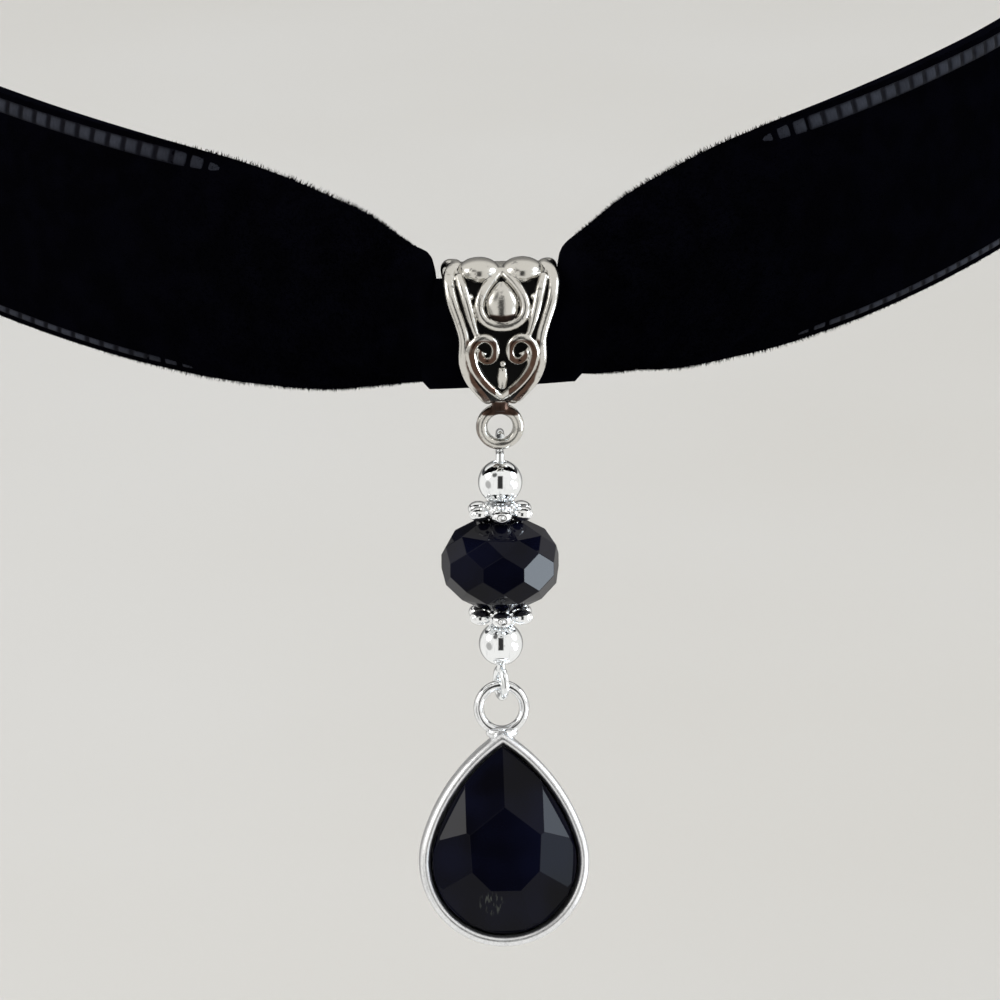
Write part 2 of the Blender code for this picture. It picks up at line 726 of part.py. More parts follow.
def build_rondelle(collection, cutters, parent, material):
    """A cut bead: hexagons round its middle, kites and a shoulder above and below them, flat ends."""
    half_step = math.pi / RONDELLE_SIDES
    hexagon_side = RONDELLE_HEIGHT / 2 * 0.15
    hexagon_tip = RONDELLE_HEIGHT / 2 * 0.44
    tip_radius = RONDELLE_RADIUS * math.cos(half_step)
    kite_slope = (RONDELLE_RADIUS - tip_radius * math.cos(half_step)) / (hexagon_tip - hexagon_side)
    shoulder_radius = RONDELLE_RADIUS - kite_slope * (RONDELLE_SHOULDER - hexagon_side)
    points = []
    for i in range(RONDELLE_SIDES):
        edge = 2 * half_step * (i + 0.5)
        for sign in (-1, 1):
            for radius, turn, z in (
                (RONDELLE_RADIUS, edge, hexagon_side),
                (tip_radius, edge + half_step, hexagon_tip),
                (shoulder_radius, edge, RONDELLE_SHOULDER),
                (RONDELLE_FLAT_RADIUS, edge, RONDELLE_HEIGHT / 2),
            ):
                points.append(Vector((radius * math.sin(turn), -radius * math.cos(turn), sign * z)))
    rondelle = hull("rondelle_bead", points, collection)
    drill(rondelle, 2 * RONDELLE_HEIGHT, cutters)
    place_under(rondelle, parent, Stack.rondelle)
    finish(rondelle, material)
    return rondelle


class Pear:
    """A pear outline: a round bottom and two side arcs that meet in a point at the top."""

    def __init__(self):
        """Find the side arcs' centre, from the height and the two radii."""
        self.down = PEAR_HEIGHT - PEAR_BOTTOM_RADIUS
        gap = PEAR_SIDE_RADIUS - PEAR_BOTTOM_RADIUS
        self.arc_z = -(PEAR_SIDE_RADIUS ** 2 + self.down ** 2 - gap ** 2) / (2 * self.down)
        self.arc_x = math.sqrt(PEAR_SIDE_RADIUS ** 2 - self.arc_z ** 2)

    def half_width(self, z, inset):
        """Half width at a height below the outline's own tip, for an outline set in by an inset."""
        side = max((PEAR_SIDE_RADIUS - inset) ** 2 - (z - self.arc_z) ** 2, 0.0)
        bottom = max((PEAR_BOTTOM_RADIUS - inset) ** 2 - (z + self.down) ** 2, 0.0)
        on_side = math.sqrt(side) - self.arc_x
        join_z = -self.down + (PEAR_BOTTOM_RADIUS - inset) * self.join_sine()
        return on_side if z > join_z else math.sqrt(bottom)

    def join_sine(self):
        """Sine of the angle at which a side arc meets the round bottom."""
        return (-self.down - self.arc_z) / (PEAR_SIDE_RADIUS - PEAR_BOTTOM_RADIUS)

    def tip(self, inset):
        """Height of the point for an outline set in by an inset."""
        return self.arc_z + math.sqrt((PEAR_SIDE_RADIUS - inset) ** 2 - self.arc_x ** 2)

    def outline(self, inset, count):
        """Points round the outline as (x, z), from the tip round by the right."""
        tip = self.tip(inset)
        low = -self.down - (PEAR_BOTTOM_RADIUS - inset)
        points = []
        for i in range(count):
            turn = math.tau * i / count
            z = low + (tip - low) * (1 + math.cos(turn)) / 2
            points.append((math.copysign(self.half_width(z, inset), math.sin(turn)), z))
        points[0] = (0.0, tip)
        points[count // 2] = (0.0, low)
        return points


PEAR_TOP = PIN_WIRE + LINK_GAP + DROP_RING_SINK - 2 * DROP_RING_RADIUS
BEZEL_BACK = BEZEL_DEPTH / 2


def build_bezel(pear, collection, cutters, parent, material):
    """The drop's setting: a pear-shaped cup with a rounded rim, and its ring soldered on top."""
    sides = 40
    rings = []
    for row in BEZEL_SECTION:
        y = BEZEL_BACK - BEZEL_DEPTH * row["depth"]
        rings.append([Vector((x, y, PEAR_TOP + z)) for x, z in pear.outline(BEZEL_WALL * row["inset"], sides)])
    floor = BEZEL_BACK - BEZEL_FLOOR
    rings.append([Vector((x, floor, PEAR_TOP + z)) for x, z in pear.outline(BEZEL_WALL, sides)])
    bezel = loft("bezel", rings, collection)
    ring_top = PIN_WIRE + LINK_GAP + DROP_RING_WIRE
    ring = wire_ring(
        "drop_ring_wire", DROP_RING_RADIUS, DROP_RING_WIRE,
        Vector((0.0, 0.0, ring_top - DROP_RING_RADIUS)), cutters, sides=22)
    ring.parent = bezel
    add_boolean(bezel, ring, "UNION")
    place_under(bezel, parent)
    finish(bezel, material, 40)
    return bezel


def build_stone(pear, collection, parent, material):
    """The faceted pear stone: table, crown, girdle and a shallow back."""
    inset = BEZEL_WALL + STONE_CLEARANCE
    girdle_y = BEZEL_BACK - BEZEL_DEPTH + STONE_SINK
    outline = pear.outline(inset, STONE_GIRDLE_SIDES)
    tip = pear.tip(inset)
    height = tip + PEAR_HEIGHT - inset
    half_width = PEAR_BOTTOM_RADIUS - inset
    points = []
    for x, z in outline:
        points.append(Vector((x, girdle_y, PEAR_TOP + z)))
        points.append(Vector((x, girdle_y + STONE_GIRDLE, PEAR_TOP + z)))
    floor = BEZEL_BACK - BEZEL_FLOOR - STONE_CLEARANCE
    for x, z in pear.outline(inset + 0.45 * half_width, 12):
        points.append(Vector((x, floor, PEAR_TOP + z)))
    for across, down in STONE_TABLE:
        for sign in (-1, 1):
            points.append(Vector((
                sign * across * half_width, girdle_y - STONE_CROWN, PEAR_TOP + tip - down * height)))
    stone = hull("pear_stone", points, collection)
    place_under(stone, parent)
    finish(stone, material)
    return stone


def make_empty(name, location, collection):
    """An empty at a joint's place."""
    empty = bpy.data.objects.new(name, None)
    empty.location = location
    empty.empty_display_size = 2 * MM
    collection.objects.link(empty)
    return empty


def main():
    """Build the necklace."""
    clear_scene()
    parts = make_collection("choker_necklace")
    cutters = make_collection("cutters")
    velvet = make_material("black_velvet", RIBBON_BLACK, 0.95, 0.0)
    antique = make_material("antique_silver", ANTIQUE_SILVER, 0.32, 1.0)
    bright = make_material("bright_silver", BRIGHT_SILVER, 0.12, 1.0)
    satin = make_material("satin_silver", SATIN_SILVER, 0.4, 1.0)
    glass = make_material("black_glass", BLACK_GLASS, 0.04, 0.0)

    loop = RibbonLoop()
    build_ribbon(loop, parts, velvet)
    build_clasp(loop, parts, cutters, satin.copy())
    build_bail(parts, cutters, antique)

    link = make_empty("link_pivot", link_pivot(), parts)
    link.rotation_euler = (-LINK_LEAN, 0.0, 0.0)
    build_eye_pin(parts, link, bright.copy())
    for name, height in (("upper_round_bead", Stack.upper_bead), ("lower_round_bead", Stack.lower_bead)):
        build_round_bead(name, height, parts, cutters, link, bright.copy())
    for name, height in (("upper_spacer", Stack.upper_spacer), ("lower_spacer", Stack.lower_spacer)):
        build_spacer(name, height, parts, cutters, link, bright.copy())
    build_rondelle(parts, cutters, link, glass)

    drop = make_empty("drop_pivot", drop_pivot(), parts)
    drop.rotation_euler = (-DROP_LEAN, 0.0, 0.0)
    drop.parent = link
    pear = Pear()
    build_bezel(pear, parts, cutters, drop, satin)
    build_stone(pear, parts, drop, glass.copy())


main()
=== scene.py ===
"""Choker necklace, dressed: velvet ribbon, cast bail, beaded link and faceted drop.

Everything is in metres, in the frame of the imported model: the origin is the centre of the neck
opening, +Z runs up along the neck, and -Y is the wearer's front.
"""
from __future__ import annotations

import logging
import math
from collections.abc import Iterator, Sequence
from contextlib import contextmanager
from dataclasses import dataclass, field
from enum import Enum

import bmesh
import bpy
import numpy as np
from mathutils import Matrix, Vector


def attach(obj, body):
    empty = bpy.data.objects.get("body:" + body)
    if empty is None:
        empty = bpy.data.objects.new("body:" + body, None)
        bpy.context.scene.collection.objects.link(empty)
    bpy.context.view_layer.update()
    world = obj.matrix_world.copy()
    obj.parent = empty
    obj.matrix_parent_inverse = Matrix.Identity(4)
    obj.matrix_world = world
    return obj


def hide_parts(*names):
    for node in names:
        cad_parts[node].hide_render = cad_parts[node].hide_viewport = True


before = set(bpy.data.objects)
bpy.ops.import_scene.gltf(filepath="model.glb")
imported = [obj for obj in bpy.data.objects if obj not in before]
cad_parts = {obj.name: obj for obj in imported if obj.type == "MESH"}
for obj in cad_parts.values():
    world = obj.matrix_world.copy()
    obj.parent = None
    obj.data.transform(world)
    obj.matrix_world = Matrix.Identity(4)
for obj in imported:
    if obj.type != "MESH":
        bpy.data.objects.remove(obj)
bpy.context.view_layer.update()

LOG = logging.getLogger("choker")
MM = 0.001
SEED = 11
Point = tuple[float, float, float]
Color = tuple[float, float, float]


class Slot(Enum):
    """Material slots of the record."""

    VELVET = "black_velvet"
    CLASP = "clasp_metal"
    ANTIQUE = "antique_silver"
    PIN = "pin_wire"
    BEAD = "silver_bead"
    SPACER = "silver_spacer"
    GLASS = "black_cut_glass"
    SATIN = "satin_silver"
    STONE = "black_stone"


class Body(Enum):
    """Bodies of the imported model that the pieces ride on."""

    COLLAR = "collar"
    LINK = "bead_link"
    DROP = "teardrop"


# Where the hanging pieces turn, and how far they lean forward on the chest
HANGING: dict[Body, tuple[Point, float]] = {
    Body.LINK: ((0.0, -56.938 * MM, -17.505 * MM), math.radians(5.0)),
    Body.DROP: ((0.0, -58.734 * MM, -35.768 * MM), math.radians(17.0)),
}


# Bench: the modelling steps that every piece shares


def only(*pieces: bpy.types.Object) -> None:
    """Select these objects alone and make the last one active."""
    bpy.ops.object.select_all(action="DESELECT")
    for piece in pieces:
        piece.select_set(True)
    bpy.context.view_layer.objects.active = pieces[-1]


@contextmanager
def editing(piece: bpy.types.Object) -> Iterator[bmesh.types.BMesh]:
    """Open a piece in edit mode with nothing selected.

    Args:
        piece: the mesh object to edit.

    Returns:
        The edit mesh, for the length of the block.
    """
    only(piece)
    bpy.ops.object.mode_set(mode="EDIT")
    bpy.ops.mesh.select_all(action="DESELECT")
    yield bmesh.from_edit_mesh(piece.data)
    bpy.ops.object.mode_set(mode="OBJECT")


def settle(piece: bpy.types.Object, name: str) -> bpy.types.Object:
    """Name a piece and put its place, turn and size into its mesh."""
    only(piece)
    bpy.ops.object.transform_apply(location=True, rotation=True, scale=True)
    piece.name = name
    piece.data.name = name
    return piece


def hung(piece: bpy.types.Object, body: Body) -> bpy.types.Object:
    """Hang a piece that was made upright below its body's pivot, with that body's forward lean."""
    pivot, lean = HANGING[body]
    piece.rotation_euler = (-lean, 0.0, 0.0)
    piece.location = pivot
    return settle(piece, piece.name)


def shape(piece: bpy.types.Object, kind: str, **settings: object) -> None:
    """Add a modifier to a piece, set it and apply it."""
    modifier = piece.modifiers.new(kind.lower(), kind)
    for key, value in settings.items():
        setattr(modifier, key, value)
    only(piece)
    bpy.ops.object.modifier_apply(modifier=modifier.name)


def joined(name: str, *pieces: bpy.types.Object) -> bpy.types.Object:
    """Join meshes into the last one, under a new name."""
    only(*pieces)
    bpy.ops.object.join()
    return settle(bpy.context.object, name)


def smoothed(piece: bpy.types.Object, angle: float | None = None) -> bpy.types.Object:
    """Shade a piece smooth, all over or up to an angle in degrees."""
    only(piece)
    if angle is None:
        bpy.ops.object.shade_smooth()
    else:
        bpy.ops.object.shade_smooth_by_angle(angle=math.radians(angle))
    return piece


def cleaned(piece: bpy.types.Object, doubles: float = 0.0005 * MM, flat: float = 0.0,
            outward: bool = True) -> None:
    """Merge doubled points, make flat faces whole and turn the faces outwards.

    Args:
        piece: the mesh object.
        doubles: distance under which points merge.
        flat: angle in degrees under which faces become one, or 0 to leave them.
        outward: whether the faces are turned outwards.
    """
    with editing(piece):
        bpy.ops.mesh.select_all(action="SELECT")
        bpy.ops.mesh.remove_doubles(threshold=doubles)
        if flat:
            bpy.ops.mesh.dissolve_limited(angle_limit=math.radians(flat))
        if outward:
            bpy.ops.mesh.normals_make_consistent(inside=False)


def eased(piece: bpy.types.Object, width: float, segments: int, angle: float, shading: float,
          **more: object) -> bpy.types.Object:
    """Bevel the edges sharper than an angle, and shade smooth up to another, both in degrees."""
    shape(piece, "BEVEL", width=width, segments=segments, limit_method="ANGLE",
          angle_limit=math.radians(angle), **more)
    return smoothed(piece, shading)


def ball(name: str, radii: Point, centre: Sequence[float], segments: int = 24,
         rings: int = 16) -> bpy.types.Object:
    """A rounded lump with three half sizes."""
    bpy.ops.mesh.primitive_uv_sphere_add(
        segments=segments, ring_count=rings, radius=1.0, location=tuple(centre), scale=radii)
    return settle(bpy.context.object, name)


def loft(name: str, rings: Sequence[np.ndarray], wrap: bool = False) -> bpy.types.Object:
    """Extrude a circle of points from ring to ring.

    Args:
        name: the piece's name.
        rings: rows of points, each with as many points as the next.
        wrap: join the last ring to the first instead of closing both ends.

    Returns:
        The closed piece.
    """
    bpy.ops.mesh.primitive_circle_add(vertices=len(rings[0]), radius=1.0)
    piece = bpy.context.object
    with editing(piece) as mesh:
        rank = mesh.verts.layers.int.new("rank")
        mesh.verts.ensure_lookup_table()
        for i, vert in enumerate(mesh.verts):
            vert[rank] = i
            vert.co = rings[0][i]
        for ring in rings[1:]:
            bpy.ops.mesh.select_all(action="DESELECT")
            fresh = [edge for edge in mesh.edges if len(edge.link_faces) < 2 and not edge.tag]
            for edge in fresh:
                edge.select_set(True)
                edge.tag = True
            bpy.ops.mesh.extrude_region()
            mesh = bmesh.from_edit_mesh(piece.data)
            rank = mesh.verts.layers.int["rank"]
            for vert in mesh.verts:
                if vert.select:
                    vert.co = ring[vert[rank]]
            for edge in mesh.edges:
                edge.tag = not edge.select
        bpy.ops.mesh.select_all(action="DESELECT")
        bpy.ops.mesh.select_non_manifold(
            extend=False, use_wire=False, use_boundary=True, use_multi_face=False,
            use_non_contiguous=False, use_verts=False)
        if wrap:
            bpy.ops.mesh.bridge_edge_loops()
        else:
            bpy.ops.mesh.edge_face_add()
    cleaned(piece)
    return settle(piece, name)


def turned(name: str, profile: Sequence[tuple[float, float]], centre: Sequence[float],
           sides: int = 64) -> bpy.types.Object:
    """Turn a closed profile of (radius, height) about an upright axis."""
    turns = np.linspace(0.0, math.tau, sides, endpoint=False)
    rings = []
    for radius, height in profile:
        ring = (radius * np.sin(turns), -radius * np.cos(turns), np.full(sides, height))
        rings.append(np.stack(ring, axis=1) + np.array(centre))
    return loft(name, rings, wrap=True)


def path_through(points: Sequence[Sequence[float]], cyclic: bool = False, steps: int = 6) -> np.ndarray:
    """A smooth path through points, with several steps between each two."""
    given = np.array([tuple(point) for point in points], float)
    if cyclic:
        padded = np.vstack([given[-1:], given, given[:2]])
    else:
        padded = np.vstack([2 * given[:1] - given[1:2], given, 2 * given[-1:] - given[-2:-1]])
    parts = np.linspace(0.0, 1.0, steps, endpoint=False)[:, None]
    rows = []
    for a, b, c, d in zip(padded, padded[1:], padded[2:], padded[3:]):
        rows.append(0.5 * (
            2 * b + (c - a) * parts + (2 * a - 5 * b + 4 * c - d) * parts ** 2
            + (3 * b - a - 3 * c + d) * parts ** 3))
    path = np.vstack(rows)
    return path if cyclic else np.vstack([path, given[-1:]])


def wire(name: str, path: np.ndarray, radius: float, cyclic: bool = False, sides: int = 4,
         swell: Sequence[float] | None = None) -> bpy.types.Object:
    """Run a round wire along a path.

    Args:
        name: the piece's name.
        path: points of its middle line.
        radius: half its thickness.
        cyclic: whether its ends meet.
        sides: how finely its section is rounded.
        swell: its thickness along the path as shares of the radius, evenly spaced.

    Returns:
        The closed wire as a mesh.
    """
    bpy.ops.curve.primitive_nurbs_path_add()
    piece = bpy.context.object
    curve = piece.data
    curve.splines.clear()
    curve.dimensions = "3D"
    curve.bevel_depth = radius
    curve.bevel_resolution = sides
    curve.use_fill_caps = not cyclic
    spline = curve.splines.new("POLY")
    spline.points.add(len(path) - 1)
    spline.points.foreach_set("co", np.hstack([path, np.ones((len(path), 1))]).ravel())
    spline.use_cyclic_u = cyclic
    if swell is not None:
        places = np.linspace(0.0, 1.0, len(path))
        shares = np.interp(places, np.linspace(0.0, 1.0, len(swell)), swell)
        spline.points.foreach_set("radius", shares)
    only(piece)
    bpy.ops.object.convert(target="MESH")
    piece = bpy.context.object
    cleaned(piece)
    return settle(piece, name)


def ring_of_wire(name: str, centre: Sequence[float], radius: float, thickness: float) -> bpy.types.Object:
    """A round wire ring that faces the front."""
    bpy.ops.mesh.primitive_torus_add(
        major_segments=96, minor_segments=32, major_radius=radius, minor_radius=thickness,
        location=tuple(centre), rotation=(math.pi / 2, 0.0, 0.0))
    return settle(bpy.context.object, name)


def cast(piece: bpy.types.Object, voxel: float, softening: int, swell: float) -> bpy.types.Object:
    """Fuse overlapping lumps into one skin and soften it, as casting does.

    Args:
        piece: the lumps, joined.
        voxel: size of the finest detail that the skin keeps.
        softening: how many times it is smoothed.
        swell: how far the skin is pushed out again afterwards.

    Returns:
        The same piece.
    """
    shape(piece, "REMESH", mode="VOXEL", voxel_size=voxel, use_smooth_shade=True)
    shape(piece, "SMOOTH", factor=0.5, iterations=softening)
    shape(piece, "DISPLACE", strength=swell, mid_level=0.0, direction="NORMAL")
    return smoothed(piece)


def read(rows: bpy.types.bpy_prop_collection, name: str, width: int = 1,
         kind: type = np.float32) -> np.ndarray:
    """Read a property of many mesh elements, one row of numbers for each."""
    values = np.empty(len(rows) * width, kind)
    rows.foreach_get(name, values)
    return values.reshape(-1, width) if width > 1 else values


def unit(rows: np.ndarray) -> np.ndarray:
    """Directions of length 1."""
    return rows / np.linalg.norm(rows, axis=1)[:, None]


def points_of(piece: bpy.types.Object) -> np.ndarray:
    """The places of a mesh's points."""
    return read(piece.data.vertices, "co", 3).astype(float)


def place_points(piece: bpy.types.Object, places: np.ndarray) -> None:
    """Put a mesh's points at new places."""
    piece.data.vertices.foreach_set("co", places.astype(np.float32).ravel())
    piece.data.update()


def hollows(piece: bpy.types.Object, passes: int) -> np.ndarray:
    """How far each point lies below its smoothed surroundings, in metres."""
    places = points_of(piece)
    mesh = piece.data
    edges = read(mesh.edges, "vertices", 2, np.int32)
    normals = read(mesh.vertex_normals, "vector", 3)
    ends = np.concatenate([edges[:, 0], edges[:, 1]])
    others = np.concatenate([edges[:, 1], edges[:, 0]])
    count = np.bincount(ends, minlength=len(places))[:, None]
    soft = places.copy()
    for _ in range(passes):
        total = np.stack(
            [np.bincount(ends, soft[others, axis], len(places)) for axis in range(3)], axis=1)
        soft = 0.5 * soft + 0.5 * total / count
    return ((soft - places) * normals).sum(axis=1)


def paint(piece: bpy.types.Object, name: str, values: np.ndarray) -> None:
    """Store a value for each point of a mesh, for its finish to read."""
    attribute = piece.data.attributes.new(name, "FLOAT", "POINT")
    attribute.data.foreach_set("value", np.clip(values, 0.0, 1.0).astype(np.float32))


def ease(values: np.ndarray | float, low: float, high: float) -> np.ndarray:
    """Ease from 0 at low to 1 at high."""
    part = np.clip((np.asarray(values, float) - low) / (high - low), 0.0, 1.0)
    return part * part * (3.0 - 2.0 * part)


def between(values: np.ndarray, rise: tuple[float, float], fall: tuple[float, float]) -> np.ndarray:
    """Ease from 0 to 1 over the rise, and back to 0 over the fall."""
    return ease(values, *rise) * (1.0 - ease(values, *fall))


def merged_copy(node: str, name: str) -> bpy.types.Object:
    """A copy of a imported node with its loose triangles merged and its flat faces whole."""
    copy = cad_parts[node].copy()
    copy.data = copy.data.copy()
    bpy.context.scene.collection.objects.link(copy)
    copy.parent = None
    copy.matrix_world = Matrix.Identity(4)
    for key in [key for key in copy.keys() if key.startswith("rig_")]:
        del copy[key]
    copy.data.materials.clear()
    cleaned(copy, 0.002 * MM, 0.6, outward=False)
    return settle(copy, name)


# Shader sums


@dataclass(frozen=True)
class Value:
    """A shader value that adds its own Math nodes when it is used in a sum."""

    tree: bpy.types.NodeTree
    socket: bpy.types.NodeSocket

    def math(self, operation: str, *values: Value | float) -> Value:
        """One Math node on some values."""
        return add_node(self.tree, "ShaderNodeMath", {"operation": operation}, dict(enumerate(values)))

    def __add__(self, other: Value | float) -> Value:
        """Sum."""
        return self.math("ADD", self, other)

    def __radd__(self, other: float) -> Value:
        """Sum, with the number first."""
        return self.math("ADD", other, self)

    def __sub__(self, other: Value | float) -> Value:
        """Difference."""
        return self.math("SUBTRACT", self, other)

    def __rsub__(self, other: float) -> Value:
        """Difference, with the number first."""
        return self.math("SUBTRACT", other, self)

    def __mul__(self, other: Value | float) -> Value:
        """Product."""
        return self.math("MULTIPLY", self, other)

    def __rmul__(self, other: float) -> Value:
        """Product, with the number first."""
        return self.math("MULTIPLY", other, self)

    def step(self, low: float, high: float) -> Value:
        """Ease from 0 at low to 1 at high."""
        return add_node(
            self.tree, "ShaderNodeMapRange", {"interpolation_type": "SMOOTHSTEP"},
            {"Value": self, "From Min": low, "From Max": high})

    def most(self, other: Value | float) -> Value:
        """The larger of two values."""
        return self.math("MAXIMUM", self, other)

    def sine(self) -> Value:
        """Sine of an angle in radians."""
        return self.math("SINE", self)

    def size(self) -> Value:
        """The value without its sign."""
        return self.math("ABSOLUTE", self)


def add_node(tree: bpy.types.NodeTree, kind: str, settings: dict[str, object],
             sockets: dict[str | int, object], out: str | int = 0) -> Value:
    """Add any node to a tree.

    Args:
        tree: the node tree.
        kind: the node's type.
        settings: its own settings, set first; "stops" gives a ramp's (place, colour) stops.
        sockets: values or links of its inputs, by name or number.
        out: which output to return.

    Returns:
        The chosen output.
    """
    node = tree.nodes.new(kind)
    for key, value in settings.items():
        if key == "stops":
            stops = node.color_ramp.elements
            while len(stops) < len(value):
                stops.new(0.5)
            for stop, (place, color) in zip(stops, value):
                stop.position = place
                stop.color = (*color, 1.0)
        else:
            setattr(node, key, value)
    for key, value in sockets.items():
        if isinstance(value, Value):
            tree.links.new(value.socket, node.inputs[key])
        else:
            node.inputs[key].default_value = value
    return Value(tree, node.outputs[out])


class Finish:
    """A material in the making, around one Principled shader."""

    def __init__(self, name: str, **constants: object) -> None:
        """Start a material.

        Args:
            name: the material's name.
            constants: the shader's own values, with _ for a space in a socket's name.
        """
        self.material = bpy.data.materials.new(name)
        self.material.use_nodes = True
        self.tree = self.material.node_tree
        self.shader = self.tree.nodes["Principled BSDF"]
        for key, value in constants.items():
            self.shader.inputs[key.replace("_", " ")].default_value = value

    def node(self, kind: str, settings: dict[str, object] | None = None,
             sockets: dict[str | int, object] | None = None, out: str | int = 0) -> Value:
        """Add any node and return one of its outputs."""
        return add_node(self.tree, kind, settings or {}, sockets or {}, out)

    def place(self) -> Value:
        """Object coordinates, which are the frame's own, in metres."""
        return self.node("ShaderNodeTexCoord", out="Object")

    def cloth(self, axis: str) -> Value:
        """Distance along (X) or across (Y) the cloth, in metres, from its own UV map."""
        uv = self.node("ShaderNodeUVMap", {"uv_map": "cloth"})
        return self.node("ShaderNodeSeparateXYZ", sockets={0: uv}, out=axis)

    def painted(self, name: str) -> Value:
        """A value painted on the mesh's points."""
        return self.node("ShaderNodeAttribute", {"attribute_name": name}, out="Fac")

    def noise(self, scale: float, detail: float = 2.0, stretch: Point = (1.0, 1.0, 1.0)) -> Value:
        """Noise with a scale in 1/metres."""
        where = self.node("ShaderNodeMapping", sockets={"Vector": self.place(), "Scale": stretch})
        return self.node("ShaderNodeTexNoise", sockets={"Vector": where, "Scale": scale, "Detail": detail})

    def mix(self, mask: Value, low: Color | Value, high: Color | Value) -> Value:
        """Mix two colours by a mask."""
        ends = {key: value if isinstance(value, Value) else (*value, 1.0)
                for key, value in ((6, low), (7, high))}
        return self.node("ShaderNodeMix", {"data_type": "RGBA"}, {0: mask, **ends}, out=2)

    def feed(self, **values: Value) -> None:
        """Link varying values to the shader's sockets."""
        for key, value in values.items():
            self.tree.links.new(value.socket, self.shader.inputs[key.replace("_", " ")])

    def bump(self, height: Value, depth: float, strength: float = 1.0) -> None:
        """Raise the surface by a height from 0 to 1 times a depth in metres."""
        self.feed(Normal=self.node(
            "ShaderNodeBump", sockets={"Height": height, "Distance": depth, "Strength": strength}))


@dataclass(frozen=True)
class Velvet:
    """Black cut pile: no gloss, a faint cool sheen, and a fine grain of fibre ends."""

    black: Color = (0.0006, 0.0006, 0.0009)
    cool: Color = (0.0012, 0.0012, 0.0026)
    sheen: float = 0.004
    grain: float = 7000.0

    def material(self, name: str) -> bpy.types.Material:
        """Make the material."""
        made = Finish(
            name, Roughness=1.0, Specular_IOR_Level=0.0, IOR=1.0, Sheen_Weight=self.sheen,
            Sheen_Roughness=0.5, Sheen_Tint=(0.45, 0.5, 0.9, 1.0))
        broad = made.noise(500.0, 3.0).step(0.35, 0.7)
        fine = made.noise(self.grain, 2.0)
        made.feed(Base_Color=made.mix(broad * 0.6 + fine * 0.4, self.black, self.cool))
        made.bump(fine, 0.06 * MM, 0.6)
        return made.material


@dataclass(frozen=True)
class Weave:
    """Plain tight weave, with its threads along and across the ribbon."""

    dark: Color = (0.003, 0.003, 0.005)
    light: Color = (0.016, 0.017, 0.022)
    pitch: float = 0.30 * MM
    weft: float = 0.8

    def material(self, name: str) -> bpy.types.Material:
        """Make the material."""
        made = Finish(name, Roughness=0.62, Specular_IOR_Level=0.3, Sheen_Weight=0.15)
        turn = math.tau / self.pitch
        along = (made.cloth("X") * turn).sine()
        across = (made.cloth("Y") * (turn * self.weft)).sine()
        threads = along * across * 0.5 + 0.5
        fibres = made.noise(9000.0, 2.0)
        raised = threads * 0.8 + fibres * 0.2
        made.feed(
            Base_Color=made.mix(raised, self.dark, self.light),
            Roughness=fibres * 0.2 + 0.55)
        made.bump(raised, 0.05 * MM, 0.7)
        return made.material


@dataclass(frozen=True)
class Selvage:
    """The ribbon's woven edge: ribs painted slate-blue, partly the thread's own colour and partly painted
    highlight, with the gaps between them painted near-black as painted shade.
    """

    gap: Color = (0.0006, 0.0007, 0.0030)
    rib: Color = (0.034, 0.038, 0.052)
    thread: float = 8000.0

    def material(self, name: str) -> bpy.types.Material:
        """Make the material."""
        made = Finish(name, Roughness=0.8, Specular_IOR_Level=0.08, Sheen_Weight=0.0)
        fibres = made.noise(self.thread, 3.0, (1.0, 1.0, 0.35))
        broad = made.noise(260.0, 2.0).step(0.3, 0.7)
        # The rib value paints the rib crowns slate-blue as thread colour and painted highlight, and leaves
        # the gaps near-black as painted shade
        mask = made.painted("rib") * (0.6 + broad * 0.4)
        made.feed(
            Base_Color=made.mix(mask * (fibres * 0.7 + 0.5), self.gap, self.rib),
            Roughness=fibres * 0.3 + 0.45)
        made.bump(fibres, 0.05 * MM, 0.6)
        return made.material


@dataclass(frozen=True)
class AgedSilver:
    """Cast silver: polished high points, near-black hollows and some warm toning between, with painted
    shade mixed into the same dark and warm colours.
    """

    bright: Color = (0.62, 0.605, 0.565)
    warm: Color = (0.085, 0.050, 0.036)
    dark: Color = (0.006, 0.006, 0.006)
    polish: float = 0.22
    pits: float = 2600.0
    pitting: float = 0.55

    def material(self, name: str) -> bpy.types.Material:
        """Make the material."""
        made = Finish(name, Metallic=1.0)
        blotch = made.noise(1500.0, 3.0)
        grain = made.noise(9000.0, 2.0)
        pits = made.noise(self.pits, 4.0).step(0.60, 0.72) * self.pitting
        # The painted tarnish and toning values hold real tarnish and toning together with painted shade
        tarnish = (made.painted("tarnish") + (blotch - 0.5) * 0.35).step(0.30, 0.72)
        toning = (made.painted("toning") * (blotch * 0.8 + 0.6)).step(0.25, 0.9)
        silver = made.mix(toning, self.bright, self.warm)
        tarnish_pits_and_shade = tarnish.most(pits)
        made.feed(
            Base_Color=made.mix(tarnish_pits_and_shade, silver, self.dark),
            Roughness=tarnish_pits_and_shade * 0.30 + grain * 0.10 + (self.polish - 0.05))
        made.bump(grain * 0.3 + (1.0 - tarnish_pits_and_shade) * 0.7, 0.02 * MM, 0.5)
        return made.material


@dataclass(frozen=True)
class BrightSilver:
    """Polished silver plate with faint handling marks."""

    color: Color = (0.90, 0.92, 0.93)
    dull: Color = (0.70, 0.72, 0.74)
    polish: float = 0.05

    def material(self, name: str) -> bpy.types.Material:
        """Make the material."""
        made = Finish(name, Metallic=1.0)
        marks = made.noise(5200.0, 4.0, (1.0, 1.0, 0.25)).step(0.52, 0.78)
        haze = made.noise(1100.0, 2.0).step(0.4, 0.75)
        made.feed(
            Base_Color=made.mix(marks * 0.5 + haze * 0.25, self.color, self.dull),
            Roughness=marks * 0.10 + haze * 0.06 + self.polish)
        made.bump(marks, 0.004 * MM, 0.4)
        return made.material


